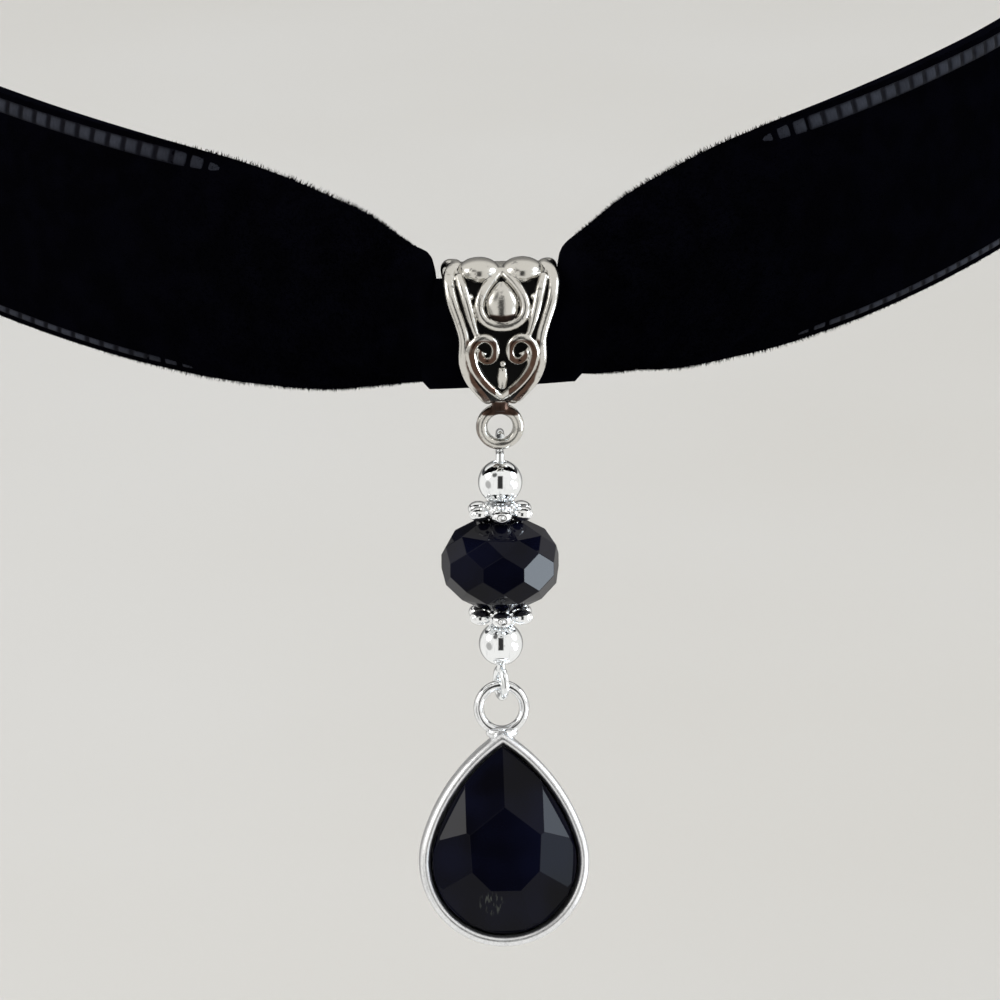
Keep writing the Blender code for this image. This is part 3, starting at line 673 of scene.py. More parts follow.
@dataclass(frozen=True)
class SatinSilver:
    """Satin plate with a fine granular skin, rubbed brighter along its edges."""

    color: Color = (0.86, 0.87, 0.88)
    dull: Color = (0.64, 0.65, 0.67)
    dark: Color = (0.03, 0.03, 0.03)
    satin: float = 0.31
    grain: float = 6500.0
    depth: float = 0.010 * MM

    def material(self, name: str) -> bpy.types.Material:
        """Make the material."""
        made = Finish(name, Metallic=1.0)
        grains = made.noise(self.grain, 3.0)
        patch = made.noise(900.0, 2.0).step(0.35, 0.75)
        # The painted tarnish value holds real tarnish in fine hollows and painted shade on the setting's
        # inner wall
        tarnish = (made.painted("tarnish") + (grains - 0.5) * 0.5).step(0.35, 0.8)
        polish = made.painted("polish")
        scratch = made.noise(3400.0, 3.0, (1.0, 0.3, 0.25)).step(0.56, 0.66) * (1.0 - polish * 0.6)
        dullness = (1.0 - grains.step(0.36, 0.60)) * 0.45 + patch * 0.2 + scratch * 0.3
        silver = made.mix(dullness, self.color, self.dull)
        made.feed(
            Base_Color=made.mix(tarnish, silver, self.dark),
            Roughness=(grains * 0.14 + patch * 0.08 + (self.satin - 0.07)) * (1.0 - polish * 0.62))
        made.bump(grains * 0.7 - scratch * 0.3, self.depth, 0.7)
        return made.material


@dataclass(frozen=True)
class BlackGlass:
    """Opaque black glass, cut and polished, with a few fine scuffs."""

    black: Color = (0.0012, 0.0012, 0.003)
    blue: Color = (0.0025, 0.003, 0.010)
    scuff: Color = (0.05, 0.055, 0.05)
    ior: float = 1.36
    gloss: float = 0.2
    scuff_at: Point = (0.0, 0.0, 0.0)
    scuff_size: float = 0.0

    def material(self, name: str) -> bpy.types.Material:
        """Make the material."""
        made = Finish(name, IOR=self.ior, Specular_IOR_Level=self.gloss, Coat_Weight=0.0)
        depth = made.noise(260.0, 1.0).step(0.35, 0.7)
        smear = made.noise(1400.0, 3.0, (1.0, 1.0, 0.35)).step(0.58, 0.8)
        color = made.mix(depth, self.black, self.blue)
        rough = smear * 0.04 + 0.02
        if self.scuff_size > 0.0:
            where = made.node("ShaderNodeMapping", sockets={
                "Vector": made.place(), "Location": tuple(-c / self.scuff_size for c in self.scuff_at),
                "Scale": (1.0 / self.scuff_size,) * 3})
            away = made.node("ShaderNodeVectorMath", {"operation": "LENGTH"}, {0: where}, "Value")
            near = 1.0 - away.step(0.5, 1.1)
            scratch = made.noise(2600.0, 4.0, (2.6, 1.0, 0.5)).step(0.52, 0.66) * near
            color = made.mix(scratch, color, self.scuff)
            rough = rough + scratch * 0.45
        made.feed(Base_Color=color, Roughness=rough)
        return made.material


# Pieces


def dress(piece: bpy.types.Object, material: bpy.types.Material, body: Body, slot: Slot,
          *nodes: str) -> bpy.types.Object:
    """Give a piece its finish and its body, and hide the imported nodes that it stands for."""
    piece.data.materials.clear()
    piece.data.materials.append(material)
    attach(piece, body.value)
    if nodes:
        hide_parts(*nodes)
    LOG.info("%s: %d faces", piece.name, len(piece.data.polygons))
    return piece


def read_curve(rows: Sequence[tuple[float, float]], at: float) -> float:
    """Read a table of (place, value) at a place between its rows, on a smooth curve."""
    places = [row[0] for row in rows]
    values = [row[1] for row in rows]
    at = min(max(at, places[0]), places[-1])
    index = 0
    while index < len(places) - 2 and places[index + 1] < at:
        index += 1
    slopes = []
    for i in (index, index + 1):
        low, high = max(i - 1, 0), min(i + 1, len(places) - 1)
        slopes.append((values[high] - values[low]) / (places[high] - places[low]))
    span = places[index + 1] - places[index]
    t = (at - places[index]) / span
    return (
        (2 * t ** 3 - 3 * t ** 2 + 1) * values[index] + (t ** 3 - 2 * t ** 2 + t) * span * slopes[0]
        + (3 * t ** 2 - 2 * t ** 3) * values[index + 1] + (t ** 3 - t ** 2) * span * slopes[1])


def arc_length(turn: float, flatness: float) -> float:
    """Length of an oval arc of half height 1, flattened front to back."""
    angles = turn * (np.linspace(0.0, 1.0, 121) - 0.5)
    steps = np.diff(np.stack([np.sin(angles), flatness * np.cos(angles)], axis=1), axis=0)
    return float(np.hypot(steps[:, 0], steps[:, 1]).sum())


@dataclass
class RibbonCourse:
    """The ribbon's way round the neck and its section at any length from the front."""

    half_width: float = 50.0 * MM
    half_depth: float = 54.0 * MM
    lean: float = math.radians(2.3)
    width: float = 16.0 * MM
    bulge: float = 5.054 * MM
    bulge_reach: float = 18.5 * MM
    dip: float = 9.3 * MM
    dip_reach: float = 28.0 * MM
    dip_rounding: float = 14.0 * MM
    mouth: float = 4.30 * MM
    mouth_dip: float = 1.05 * MM
    mouth_reach: float = 0.35 * MM
    roll_turn: float = math.radians(342.0)
    roll_flatness: float = 0.62
    gather_reach: float = 36.0 * MM
    rolls: tuple[tuple[float, float], ...] = (
        (0.0, 1.0), (0.008, 0.87), (0.028, 0.79), (0.072, 0.725), (0.130, 0.64), (0.21, 0.50),
        (0.32, 0.35), (0.47, 0.15), (0.69, 0.05), (1.0, 0.0))
    flattest_turn: float = math.radians(2.0)
    fold_start: float = 2.5 * MM
    fold_fade: tuple[float, float] = (3.0 * MM, 13.0 * MM)
    fold_height: float = 0.16 * MM
    folds: float = 3.0
    fold_shift: float = 0.12

    def __post_init__(self) -> None:
        """Walk the oval and note the length at each step."""
        self.angles = np.linspace(0.0, math.tau, 1441)
        across = self.half_width * np.sin(self.angles)
        forward = -self.half_depth * np.cos(self.angles)
        steps = np.hypot(np.diff(across), np.diff(forward))
        self.lengths = np.concatenate([[0.0], np.cumsum(steps)])
        self.length = float(self.lengths[-1])

    def angle_at(self, along: float) -> float:
        """Angle of the oval at a length from the front."""
        return float(np.interp(along % self.length, self.lengths, self.angles))

    def outward(self, along: float) -> np.ndarray:
        """Level direction out of the neck."""
        angle = self.angle_at(along)
        out = np.array([self.half_depth * math.sin(angle), -self.half_width * math.cos(angle), 0.0])
        return out / np.linalg.norm(out)

    def from_mouth(self, along: float) -> float:
        """Distance from the nearer mouth of the bail."""
        short_way = min(along % self.length, self.length - along % self.length)
        return max(short_way - self.mouth, 0.0)

    def sweep(self, along: float) -> np.ndarray:
        """Front of the ribbon's middle, with its bulge, its long dip and its lean."""
        away = self.from_mouth(along)
        angle = self.angle_at(along)
        point = np.array([self.half_width * math.sin(angle), -self.half_depth * math.cos(angle), 0.0])
        point += self.outward(along) * self.bulge * (1.0 - float(ease(away, 0.0, self.bulge_reach)))
        fall = (math.hypot(away, self.dip_rounding) - self.dip_rounding) / self.dip_reach
        point[2] += point[0] * math.tan(self.lean) - self.dip * math.exp(-fall)
        return point

    def section(self, along: float, shares: np.ndarray) -> tuple[np.ndarray, np.ndarray]:
        """The ribbon's middle line at one length.

        Args:
            along: length from the front.
            shares: places across the ribbon, 0 at its lower edge and 1 at its upper edge.

        Returns:
            The points and the directions out of the cloth.
        """
        step = 0.2 * MM
        tangent = self.sweep(along + step) - self.sweep(along - step)
        tangent /= np.linalg.norm(tangent)
        across = np.cross(self.outward(along), tangent)
        across *= math.copysign(1.0, across[2]) / np.linalg.norm(across)
        out = np.cross(tangent, across)
        out *= math.copysign(1.0, out @ self.outward(along))
        away = self.from_mouth(along)
        place = self.sweep(along)
        place[2] -= self.mouth_dip * math.exp(-(away / self.mouth_reach) ** 2)
        roll = read_curve(self.rolls, away / self.gather_reach)
        turn = max(self.roll_turn * roll, self.flattest_turn)
        flatness = 1.0 - (1.0 - self.roll_flatness) * roll
        half_height = self.width / arc_length(turn, flatness)
        angle = (turn * (shares - 0.5))[:, None]
        points = place + across * half_height * np.sin(angle)
        points -= out * half_height * flatness * (1.0 - np.cos(angle))
        normals = unit(across * np.sin(angle) * flatness + out * np.cos(angle))
        fold = float(ease(away, 0.0, self.fold_start) * (1.0 - ease(away, *self.fold_fade)))
        side = math.copysign(1.0, math.sin(self.angle_at(along)))
        ripple = np.cos(math.tau * (self.folds * shares + self.fold_shift * side))
        points += normals * (self.fold_height * fold * ripple)[:, None]
        return points, normals


@dataclass
class VelvetRibbon:
    """The velvet band with its woven back, its ribbed edges and its pile."""

    course: RibbonCourse = field(default_factory=RibbonCourse)
    thickness: float = 1.0 * MM
    columns: int = 26
    end_gap: float = 1.1 * MM
    fine_reach: float = 16.0 * MM
    rib_pitch: float = 1.17 * MM
    rib_start: float = 14.0 * MM
    rib_fade: tuple[float, float] = (15.0 * MM, 27.0 * MM)
    rib_height: float = 0.10 * MM
    strip_thickness: float = 0.14 * MM
    strips: tuple[tuple[str, float, float], ...] = (("upper", 0.914, 0.976), ("lower", 0.022, 0.050))
    sides: tuple[tuple[str, float], ...] = (("left", -1.0), ("right", 1.0))
    pile_start: float = 5.0 * MM
    gather_fibres: int = 20000
    rim_fibres: int = 14000
    field_fibres: int = 12000
    fibre_radius: float = 0.032 * MM

    def stations(self, fine: float, coarse: float) -> np.ndarray:
        """Lengths along one side, close together in the gather and wider apart behind."""
        end = self.course.length / 2 - self.end_gap
        near = np.arange(0.0, self.fine_reach, fine)
        count = int((end - self.fine_reach) / coarse) + 1
        return np.concatenate([near, np.linspace(self.fine_reach, end, count)])

    def grid(self) -> None:
        """Work out the middle surface once, for the cloth and for what grows on it."""
        half = self.stations(0.22 * MM, 0.55 * MM)
        self.along = np.concatenate([-half[:0:-1], half])
        self.shares = np.linspace(0.0, 1.0, self.columns + 1)
        rows = [self.course.section(float(s), self.shares) for s in self.along]
        self.points = np.array([row[0] for row in rows])
        self.normals = np.array([row[1] for row in rows])

    def at(self, along: np.ndarray, shares: np.ndarray) -> tuple[np.ndarray, np.ndarray]:
        """Places and directions out of the cloth at many points of it."""
        i = np.clip(np.searchsorted(self.along, along) - 1, 0, len(self.along) - 2)
        t = ((along - self.along[i]) / (self.along[i + 1] - self.along[i]))[:, None]
        column = np.clip(shares * self.columns, 0, self.columns - 1e-6)
        j = column.astype(int)
        u = (column - j)[:, None]
        found = []
        for table in (self.points, self.normals):
            low = table[i, j] * (1 - u) + table[i, j + 1] * u
            high = table[i + 1, j] * (1 - u) + table[i + 1, j + 1] * u
            found.append(low * (1 - t) + high * t)
        return found[0], unit(found[1])

    @staticmethod
    def sheet_of(name: str, points: np.ndarray, along: np.ndarray, across: np.ndarray,
                 out: np.ndarray) -> bpy.types.Object:
        """A grid of points with its own cloth coordinates and its face towards given directions."""
        rows, columns = points.shape[:2]
        bpy.ops.mesh.primitive_grid_add(x_subdivisions=columns - 1, y_subdivisions=rows - 1, size=1.0)
        piece = bpy.context.object
        place_points(piece, points.reshape(-1, 3))
        loops = read(piece.data.loops, "vertex_index", kind=np.int32)
        cloth = np.stack([np.repeat(along, columns), np.tile(across, rows)], axis=1)[loops]
        while piece.data.uv_layers:
            piece.data.uv_layers.remove(piece.data.uv_layers[0])
        piece.data.uv_layers.new(name="cloth").data.foreach_set("uv", cloth.astype(np.float32).ravel())
        piece.name = name
        piece.data.name = name
        middle = piece.data.polygons[len(piece.data.polygons) // 2]
        if middle.normal.dot(Vector(out.reshape(-1, 3)[middle.vertices[0]])) < 0:
            piece.data.flip_normals()
        return piece

    def build_band(self) -> bpy.types.Object:
        """The cloth itself, with velvet outside and plain weave inside."""
        across = self.shares * self.course.width
        band = self.sheet_of("ribbon_cloth", self.points, self.along, across, self.normals)
        band.data.materials.append(Velvet().material("velvet_pile_black"))
        band.data.materials.append(Weave().material("ribbon_woven_back"))
        shape(band, "SOLIDIFY", thickness=self.thickness, offset=0.0, material_offset=1)
        self.sort_sides(band)
        return smoothed(band, 60.0)

    def sort_sides(self, band: bpy.types.Object) -> None:
        """Give the faces that look into the neck the woven back and all the others velvet."""
        mesh = band.data
        first = read(mesh.polygons, "loop_start", kind=np.int32)
        along, across = read(mesh.uv_layers["cloth"].data, "uv", 2)[first].T
        along = np.clip(along, self.along[0], self.along[-1])
        _, out = self.at(along, across / self.course.width)
        inward = (read(mesh.polygons, "normal", 3) * out).sum(axis=1) < -0.5
        mesh.polygons.foreach_set("material_index", inward.astype(np.int32))

    def build_edges(self) -> list[bpy.types.Object]:
        """The ribbed selvage strips near the upper and lower edges, fading into the gather."""
        made = []
        finish = Selvage().material("selvage_slate")
        end = self.course.length / 2 - self.end_gap
        for edge, low, high in self.strips:
            for side, sign in self.sides:
                along = sign * np.arange(self.rib_start, end, self.rib_pitch / 9)
                shares = np.linspace(low, high, 7)
                grid = np.meshgrid(along, shares, indexing="ij")
                length, share = grid[0].ravel(), grid[1].ravel()
                places, normals = self.at(length, share)
                rib = ease(0.5 + 0.5 * np.cos(math.tau * length / self.rib_pitch), 0.10, 0.42)
                crown = np.sin(np.pi * (share - low) / (high - low))
                lift = self.thickness / 2 + 0.02 * MM + self.rib_height * rib * crown
                fade = ease(np.abs(length), *self.rib_fade)
                lift = lift * fade + (self.thickness / 2 - 0.08 * MM) * (1.0 - fade)
                places += normals * lift[:, None]
                strip = self.sheet_of(
                    f"selvage_{edge}_{side}", places.reshape(*grid[0].shape, 3), along,
                    shares * self.course.width, normals)
                # The painted rib value lights the rib crowns as painted highlight and leaves the gaps
                # between ribs as painted shade
                paint(strip, "rib", rib * crown ** 0.4 * fade)
                shape(strip, "SOLIDIFY", thickness=self.strip_thickness, offset=-1.0)
                made.append(dress(smoothed(strip, 50.0), finish, Body.COLLAR, Slot.VELVET))
        return made

    def build_pile(self) -> list[bpy.types.Object]:
        """The standing fibres: dense and long in the gather, sparse and short elsewhere."""
        bpy.ops.mesh.primitive_cone_add(
            vertices=3, radius1=1.0, radius2=0.0, depth=1.0, end_fill_type="NOTHING")
        pattern = bpy.context.object
        fibre = points_of(pattern) + np.array([0.0, 0.0, 0.5])
        faces = np.array([tuple(face.vertices) for face in pattern.data.polygons])
        bpy.data.objects.remove(pattern)
        finish = Velvet(sheen=0.0).material("velvet_fibres_black")
        random = np.random.default_rng(SEED)
        end = self.course.length / 2 - self.end_gap - 0.4 * MM
        piles = []
        start = self.pile_start
        for side, sign in self.sides:
            spread = random.exponential(11.0 * MM, self.gather_fibres)
            along = [start + np.minimum(spread, 60.0 * MM)]
            shares = [random.random(self.gather_fibres)]
            along.append(random.uniform(start, end, self.rim_fibres))
            rim_share = 0.018 * random.random(self.rim_fibres) ** 1.5
            shares.append(np.where(random.random(self.rim_fibres) < 0.5, rim_share, 1.0 - rim_share))
            along.append(random.uniform(20.0 * MM, end, self.field_fibres))
            shares.append(random.random(self.field_fibres))
            length = []
            for where, extra, fade in zip(along, (0.16 * MM, 0.20 * MM), (14.0 * MM, 16.0 * MM)):
                gathered = 1.0 - ease(where, fade, fade + 16.0 * MM)
                length.append(0.12 * MM + extra * gathered * ease(where, start, 8.0 * MM))
            length.append(np.full(self.field_fibres, 0.11 * MM))
            along_all = sign * np.concatenate(along)
            share_all = np.concatenate(shares)
            length_all = np.concatenate(length) * random.uniform(0.5, 1.35, len(along_all))
            places, normals = self.at(along_all, share_all)
            edge_push = ease(share_all, 0.965, 1.0) - (1.0 - ease(share_all, 0.0, 0.035))
            upward, _ = self.at(along_all, np.clip(share_all + 0.01, 0, 1))
            downward, _ = self.at(along_all, np.clip(share_all - 0.01, 0, 1))
            across = unit(upward - downward)
            lean = random.normal(0.0, 0.38, (len(along_all), 3))
            direction = unit(normals + lean + across * (edge_push * 1.5)[:, None])
            places += normals * (self.thickness / 2 - 0.05 * MM)
            piles.append(self.planted(
                f"velvet_pile_{side}", fibre, faces, places, direction, length_all, finish))
        return piles

    def planted(self, name: str, fibre: np.ndarray, faces: np.ndarray, places: np.ndarray,
                direction: np.ndarray, length: np.ndarray, finish: bpy.types.Material) -> bpy.types.Object:
        """Copy one fibre to many places of the cloth, as one mesh."""
        upright = np.abs(direction[:, 2:]) >= 0.9
        helper = np.where(upright, np.array([[1.0, 0.0, 0.0]]), np.array([[0.0, 0.0, 1.0]]))
        side = unit(np.cross(direction, helper))
        front = np.cross(direction, side)
        points = (
            places[:, None, :] + side[:, None, :] * fibre[None, :, :1] * self.fibre_radius
            + front[:, None, :] * fibre[None, :, 1:2] * self.fibre_radius
            + direction[:, None, :] * fibre[None, :, 2:] * length[:, None, None])
        index = faces[None, :, :] + (np.arange(len(places)) * len(fibre))[:, None, None]
        mesh = bpy.data.meshes.new(name)
        mesh.from_pydata(points.reshape(-1, 3).tolist(), [], index.reshape(-1, 3).tolist())
        piece = bpy.data.objects.new(name, mesh)
        bpy.context.scene.collection.objects.link(piece)
        return dress(piece, finish, Body.COLLAR, Slot.VELVET)

    def build(self) -> None:
        """Make the ribbon with its selvage strips and its pile."""
        self.grid()
        band = self.build_band()
        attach(band, Body.COLLAR.value)
        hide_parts("velvet_ribbon")
        trims = self.build_edges() + self.build_pile()
        LOG.info("ribbon: %d faces, %d trims", len(band.data.polygons), len(trims))


@dataclass
class Clasp:
    """The plain sleeve over the ribbon's ends, with its edges eased."""

    edge: float = 0.16 * MM

    def build(self) -> None:
        """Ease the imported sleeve's edges and give it a brushed finish."""
        sleeve = merged_copy("ribbon_clasp", "clasp_sleeve")
        eased(sleeve, self.edge, 3, 40.0, 40.0)
        finish = SatinSilver(satin=0.26, grain=3600.0, depth=0.010 * MM)
        dress(sleeve, finish.material("clasp_satin"), Body.COLLAR, Slot.CLASP, "ribbon_clasp")


@dataclass
class Bail:
    """The cast bail: an oval band with rolled rims, two lobes, a drop, a heart of scrolls and a ring."""

    centre: Point = (0.0, -57.007 * MM, -10.35 * MM)
    half_length: float = 3.9 * MM
    half_height: float = 4.752 * MM
    half_depth: float = 3.497 * MM
    wall: float = 0.6 * MM
    rim_wire: float = 0.41 * MM
    ring_radius: float = 1.24 * MM
    ring_wire: float = 0.36 * MM
    neck: float = 0.35 * MM
    outline: tuple[tuple[float, float], ...] = (
        (-1.10, 0.24), (-0.80, 0.45), (-0.55, 0.64), (-0.25, 0.755), (0.10, 0.755), (0.34, 0.83),
        (0.62, 0.95), (0.84, 1.0), (0.93, 0.985), (0.98, 0.94), (1.0, 0.86), (1.10, 0.80))
    line_wire: float = 0.31 * MM
    ridge_line: tuple[tuple[float, float], ...] = (
        (0.73, 0.90), (0.675, 0.78), (0.61, 0.60), (0.54, 0.40), (0.455, 0.17))
    roll_line: tuple[tuple[float, float], ...] = (
        (0.14, 0.925), (0.26, 0.885), (0.40, 0.868), (0.54, 0.885))
    leaf_line: tuple[tuple[float, float], ...] = ((0.0, -0.32), (0.0, -0.48), (0.0, -0.64))
    drop_size: tuple[float, float, float] = (0.395, 0.93, 0.275)
    drop_downs: tuple[float, ...] = (0.10, 0.22, 0.36, 0.50, 0.64, 0.78, 0.90, 0.975)
    heart_foot: float = -0.80
    heart_half_width: float = 0.53
    heart_rise: float = 0.70
    curl_centre: tuple[float, float] = (0.290, -0.09)
    curl_size: float = 0.25
    curl_shrink: float = 0.72
    curl_turn: float = 2.15 * math.pi
    lobe_size: Point = (1.36 * MM, 1.40 * MM, 0.84 * MM)
    boss_size: Point = (1.10 * MM, 0.70 * MM, 1.52 * MM)
    boss_tilt: float = math.radians(-26.0)
    neck_wire: float = 0.58 * MM
    voxel: float = 0.074 * MM
    softening: int = 3
    swell: float = 0.03 * MM

    def half_width(self, height: float) -> float:
        """Half width of the front outline at a share of the half height."""
        return self.half_length * read_curve(self.outline, height)

    def front(self, across: float, height: float, lift: float = 0.0) -> np.ndarray:
        """Point on the front face by shares of the half length and half height."""
        z = self.half_height * height
        y = -self.half_depth * math.sqrt(max(1.0 - height * height, 0.0))
        out = np.array([0.0, y / self.half_depth ** 2, z / self.half_height ** 2])
        out /= np.linalg.norm(out)
        return np.array(self.centre) + np.array([self.half_length * across, y, z]) + out * lift

    def band(self) -> bpy.types.Object:
        """The oval band: a torus whose section is a flat strip of the outline's width."""
        around, profile = 144, 40
        bpy.ops.mesh.primitive_torus_add(major_segments=around, minor_segments=profile)
        band = bpy.context.object
        places = []
        for turn in (math.tau * i / around for i in range(around)):
            half = self.half_width(math.cos(turn)) - self.rim_wire * 0.5
            for part in (2.0 * j / profile for j in range(profile)):
                across = 2.0 * part - 1.0 if part < 1.0 else 3.0 - 2.0 * part
                inset = 0.0 if part < 1.0 else self.wall
                places.append((
                    across * half, -(self.half_depth - inset) * math.sin(turn),
                    (self.half_height - inset) * math.cos(turn)))
        place_points(band, np.array(places) + np.array(self.centre))
        cleaned(band)
        return settle(band, "bail_band")

    def rim(self, sign: float) -> np.ndarray:
        """Middle line of one rolled rim, front and back."""
        middle = 0.20 * MM
        path = []
        for turn in (math.tau * i / 120 for i in range(120)):
            path.append((
                sign * (self.half_width(math.cos(turn)) - self.rim_wire),
                -(self.half_depth - middle) * math.sin(turn),
                (self.half_height - middle) * math.cos(turn)))
        return np.array(path) + np.array(self.centre)

    def on_front(self, line: Sequence[tuple[float, float]], lift: float, sign: float = 1.0,
                 cyclic: bool = False, steps: int = 6) -> np.ndarray:
        """A smooth line through places on the front face, which are given as shares."""
        return path_through([self.front(sign * a, h, lift) for a, h in line], cyclic, steps)

    def teardrop(self, lift: float = 0.0) -> np.ndarray:
        """Closed teardrop line on the front, pointed at the top."""
        half_width, top, bottom = self.drop_size
        right = [
            (half_width * d ** 0.8 * math.sqrt(1.0 - d) / 0.42, top + (bottom - top) * d)
            for d in self.drop_downs]
        left = [(-across, height) for across, height in reversed(right)]
        return self.on_front([(0.0, top), *right, (0.0, bottom), *left], lift, cyclic=True, steps=8)

    def scroll(self, lift: float = 0.0) -> np.ndarray:
        """The heart's line: a curl, down a side to the point, up the other side, a curl."""
        half = []
        for part in (i / 7 for i in range(1, 7)):
            across = self.heart_half_width * math.sin(part * math.pi / 2) ** 0.85
            half.append((across, self.heart_foot + self.heart_rise * part))
        for part in (i / 18 for i in range(19)):
            turn = self.curl_turn * part
            size = self.curl_size * (1.0 - self.curl_shrink * part)
            x, z = self.curl_centre
            half.append((x + size * math.cos(turn), z + size * math.sin(turn)))
        left = [(-across, height) for across, height in reversed(half)]
        return self.on_front([*left, (0.0, self.heart_foot), *half], lift)

    def relief(self) -> list[bpy.types.Object]:
        """All that stands on the band."""
        lumps = []
        for side, sign in (("left", -1.0), ("right", 1.0)):
            ridge = self.on_front(self.ridge_line, 0.06 * MM, sign)
            roll = self.on_front(self.roll_line, 0.10 * MM, sign)
            point = (0.17 * MM, 0.20 * MM, 0.22 * MM)
            lumps += [
                wire(f"rim_{side}", self.rim(sign), self.rim_wire, cyclic=True),
                wire(f"ridge_{side}", ridge, self.line_wire, swell=(0.9, 1.1, 1.1, 1.0, 0.6)),
                ball(f"lobe_{side}", self.lobe_size, self.front(sign * 0.37, 0.968, -0.12 * MM), 48, 32),
                wire(f"lobe_roll_{side}", roll, 0.32 * MM, swell=(0.6, 1.0, 1.15, 0.8)),
                ball(f"point_{side}", point, self.front(sign * 0.53, 0.66), 16, 12)]
        heart = (1.25, 0.75, 0.9, 1.0, 1.1, 1.1, 0.95, 1.1, 1.1, 1.0, 0.9, 0.75, 1.25)
        lumps += [
            wire("heart", self.scroll(0.06 * MM), self.line_wire, swell=heart),
            wire("drop_line", self.teardrop(0.08 * MM), 0.34 * MM, cyclic=True),
            self.boss(),
            wire("leaf", self.on_front(self.leaf_line, 0.03 * MM), 0.36 * MM, swell=(0.75, 1.05, 0.75)),
            ball("leaf_bud", (0.20 * MM,) * 3, self.front(0.0, -0.25, 0.16 * MM), 20, 14)]
        return lumps

    def boss(self) -> bpy.types.Object:
        """The raised drop inside its line: a dome that narrows to a point above, square to the band."""
        dome = ball("drop_boss", self.boss_size, (0.0, 0.0, 0.0), 64, 48)
        places = points_of(dome)
        rise = np.clip(places[:, 2] / self.boss_size[2], 0.0, 1.0)
        places[:, 0] *= 1.0 - 0.46 * rise ** 1.5
        place_points(dome, places)
        dome.rotation_euler = (self.boss_tilt, 0.0, 0.0)
        dome.location = self.front(0.0, 0.575, -0.10 * MM)
        return settle(dome, dome.name)

    def neck_and_ring(self) -> list[bpy.types.Object]:
        """The neck below the band and the ring that the link hangs in."""
        down = np.array([0.0, 0.0, -1.0])
        top = self.centre + down * (self.half_height - 0.3 * MM)
        foot = self.centre + down * (self.half_height + self.neck + self.ring_wire)
        return [
            wire("neck", np.array([top, (top + foot) / 2, foot]), self.neck_wire),
            ring_of_wire("bail_ring", foot + down * self.ring_radius, self.ring_radius, self.ring_wire)]

    def build(self) -> None:
        """Cast the bail as one skin, and paint its tarnish, its toning and its painted shade."""
        band = self.band()
        relief = joined("bail_relief", *self.relief())
        self.kept_in_wall(relief)
        bail = joined("bail_casting", relief, *self.neck_and_ring(), band)
        cast(bail, self.voxel, self.softening, self.swell)
        self.paint_age(bail)
        dress(bail, AgedSilver().material("antique_silver_cast"), Body.COLLAR, Slot.ANTIQUE, "bail")

    def kept_in_wall(self, piece: bpy.types.Object) -> None:
        """Push what would come through into the bore back into the band's wall."""
        places = points_of(piece) - np.array(self.centre)
        depth, height = self.half_depth - self.wall * 0.55, self.half_height - self.wall * 0.55
        reach = np.hypot(places[:, 1] / depth, places[:, 2] / height)
        push = np.where(reach < 1.0, 1.0 / np.maximum(reach, 0.05), 1.0)[:, None]
        places[:, 1:] *= push
        place_points(piece, places + np.array(self.centre))

    def paint_age(self, bail: bpy.types.Object) -> None:
        """Tarnish in the hollows and on the ground between the lines, toning on the heart's sides, painted
        shade on the lower part of the raised drop and on the ring's lower edge, and a dark brown front on
        the neck.
        """
        x, y, z = (points_of(bail) - np.array(self.centre)).T
        reach = np.hypot(y / self.half_depth, z / self.half_height)
        lift = (reach - 1.0) * np.hypot(y, z) / np.maximum(reach, 0.05)
        share = np.clip(z / self.half_height, -2.0, 1.1)
        half = np.interp(np.maximum(share, -1.0), *np.array(self.outline).T) * self.half_length
        inside = 1.0 - ease(np.abs(x) / half, 0.80, 0.90)
        front = ease(-y, 0.2 * MM, 0.9 * MM) * (1.0 - ease(-share, 0.93, 0.99))

        # The band between the lines, and the fine and broad hollows
        low = 1.0 - ease(lift, 0.04 * MM, 0.17 * MM)
        ground = low * inside * front * (1.0 - ease(share, 0.91, 0.96))
        outside = ease(reach, 0.90, 0.96)
        fine = ease(hollows(bail, 6), 0.004 * MM, 0.020 * MM) * outside
        broad = ease(hollows(bail, 40), 0.02 * MM, 0.09 * MM) * outside

        # The neck above the ring, painted dark brown on its front, and the foot of the raised drop inside
        # its line, its lower part darkened as painted shade
        neck = between(share, (-1.26, -1.20), (-1.04, -0.96)) * ease(-y, 0.05 * MM, 0.3 * MM)
        foot = between(share, (0.22, 0.26), (0.43, 0.50)) * front
        foot *= ease(self.away_from(x, z, self.teardrop()), 0.34 * MM, 0.42 * MM)
        foot *= (1.0 - ease(np.abs(x), 1.0 * MM, 1.15 * MM)) * ease(lift, 0.1 * MM, 0.3 * MM)

        # The heart's sides, without its crest, its leaf and the ends of its curls
        heart = between(share, (-0.98, -0.90), (0.06, 0.16)) * inside * front
        heart *= ease(np.abs(x), 0.36 * MM, 0.48 * MM)
        from_line = self.away_from(x, z, self.scroll())
        heart *= 1.0 - ease(from_line, 0.14 * MM, 0.25 * MM) + ease(from_line, 0.33 * MM, 0.40 * MM)
        from_end = np.hypot(np.abs(x) - 1.10 * MM, z + 0.07 * self.half_height)
        heart *= ease(from_end, 0.2 * MM, 0.4 * MM)

        # The lower right edge of the ring, darkened and warmed as painted shade
        from_ring = np.hypot(x, z + 6.702 * MM)
        edge = ease(-share, 1.2, 1.4) * ease(from_ring, 1.32 * MM, 1.5 * MM)
        edge *= ease(-x, -0.9 * MM, 0.3 * MM)

        # Painted shade rides in the tarnish and toning values: the raised drop's lower part and the ring's
        # lower edge
        paint(bail, "tarnish", np.maximum.reduce([ground, foot * 0.62, fine, broad, neck * 0.5]))
        paint(bail, "toning", np.maximum.reduce([heart * 0.95, neck, edge * 0.7, foot]))

    def away_from(self, x: np.ndarray, z: np.ndarray, line: np.ndarray) -> np.ndarray:
        """Distance of each place from a line, seen from the front."""
        least = np.full(len(x), 1.0)
        for line_x, _, line_z in line - np.array(self.centre):
            least = np.minimum(least, np.hypot(x - line_x, z - line_z))
        return least


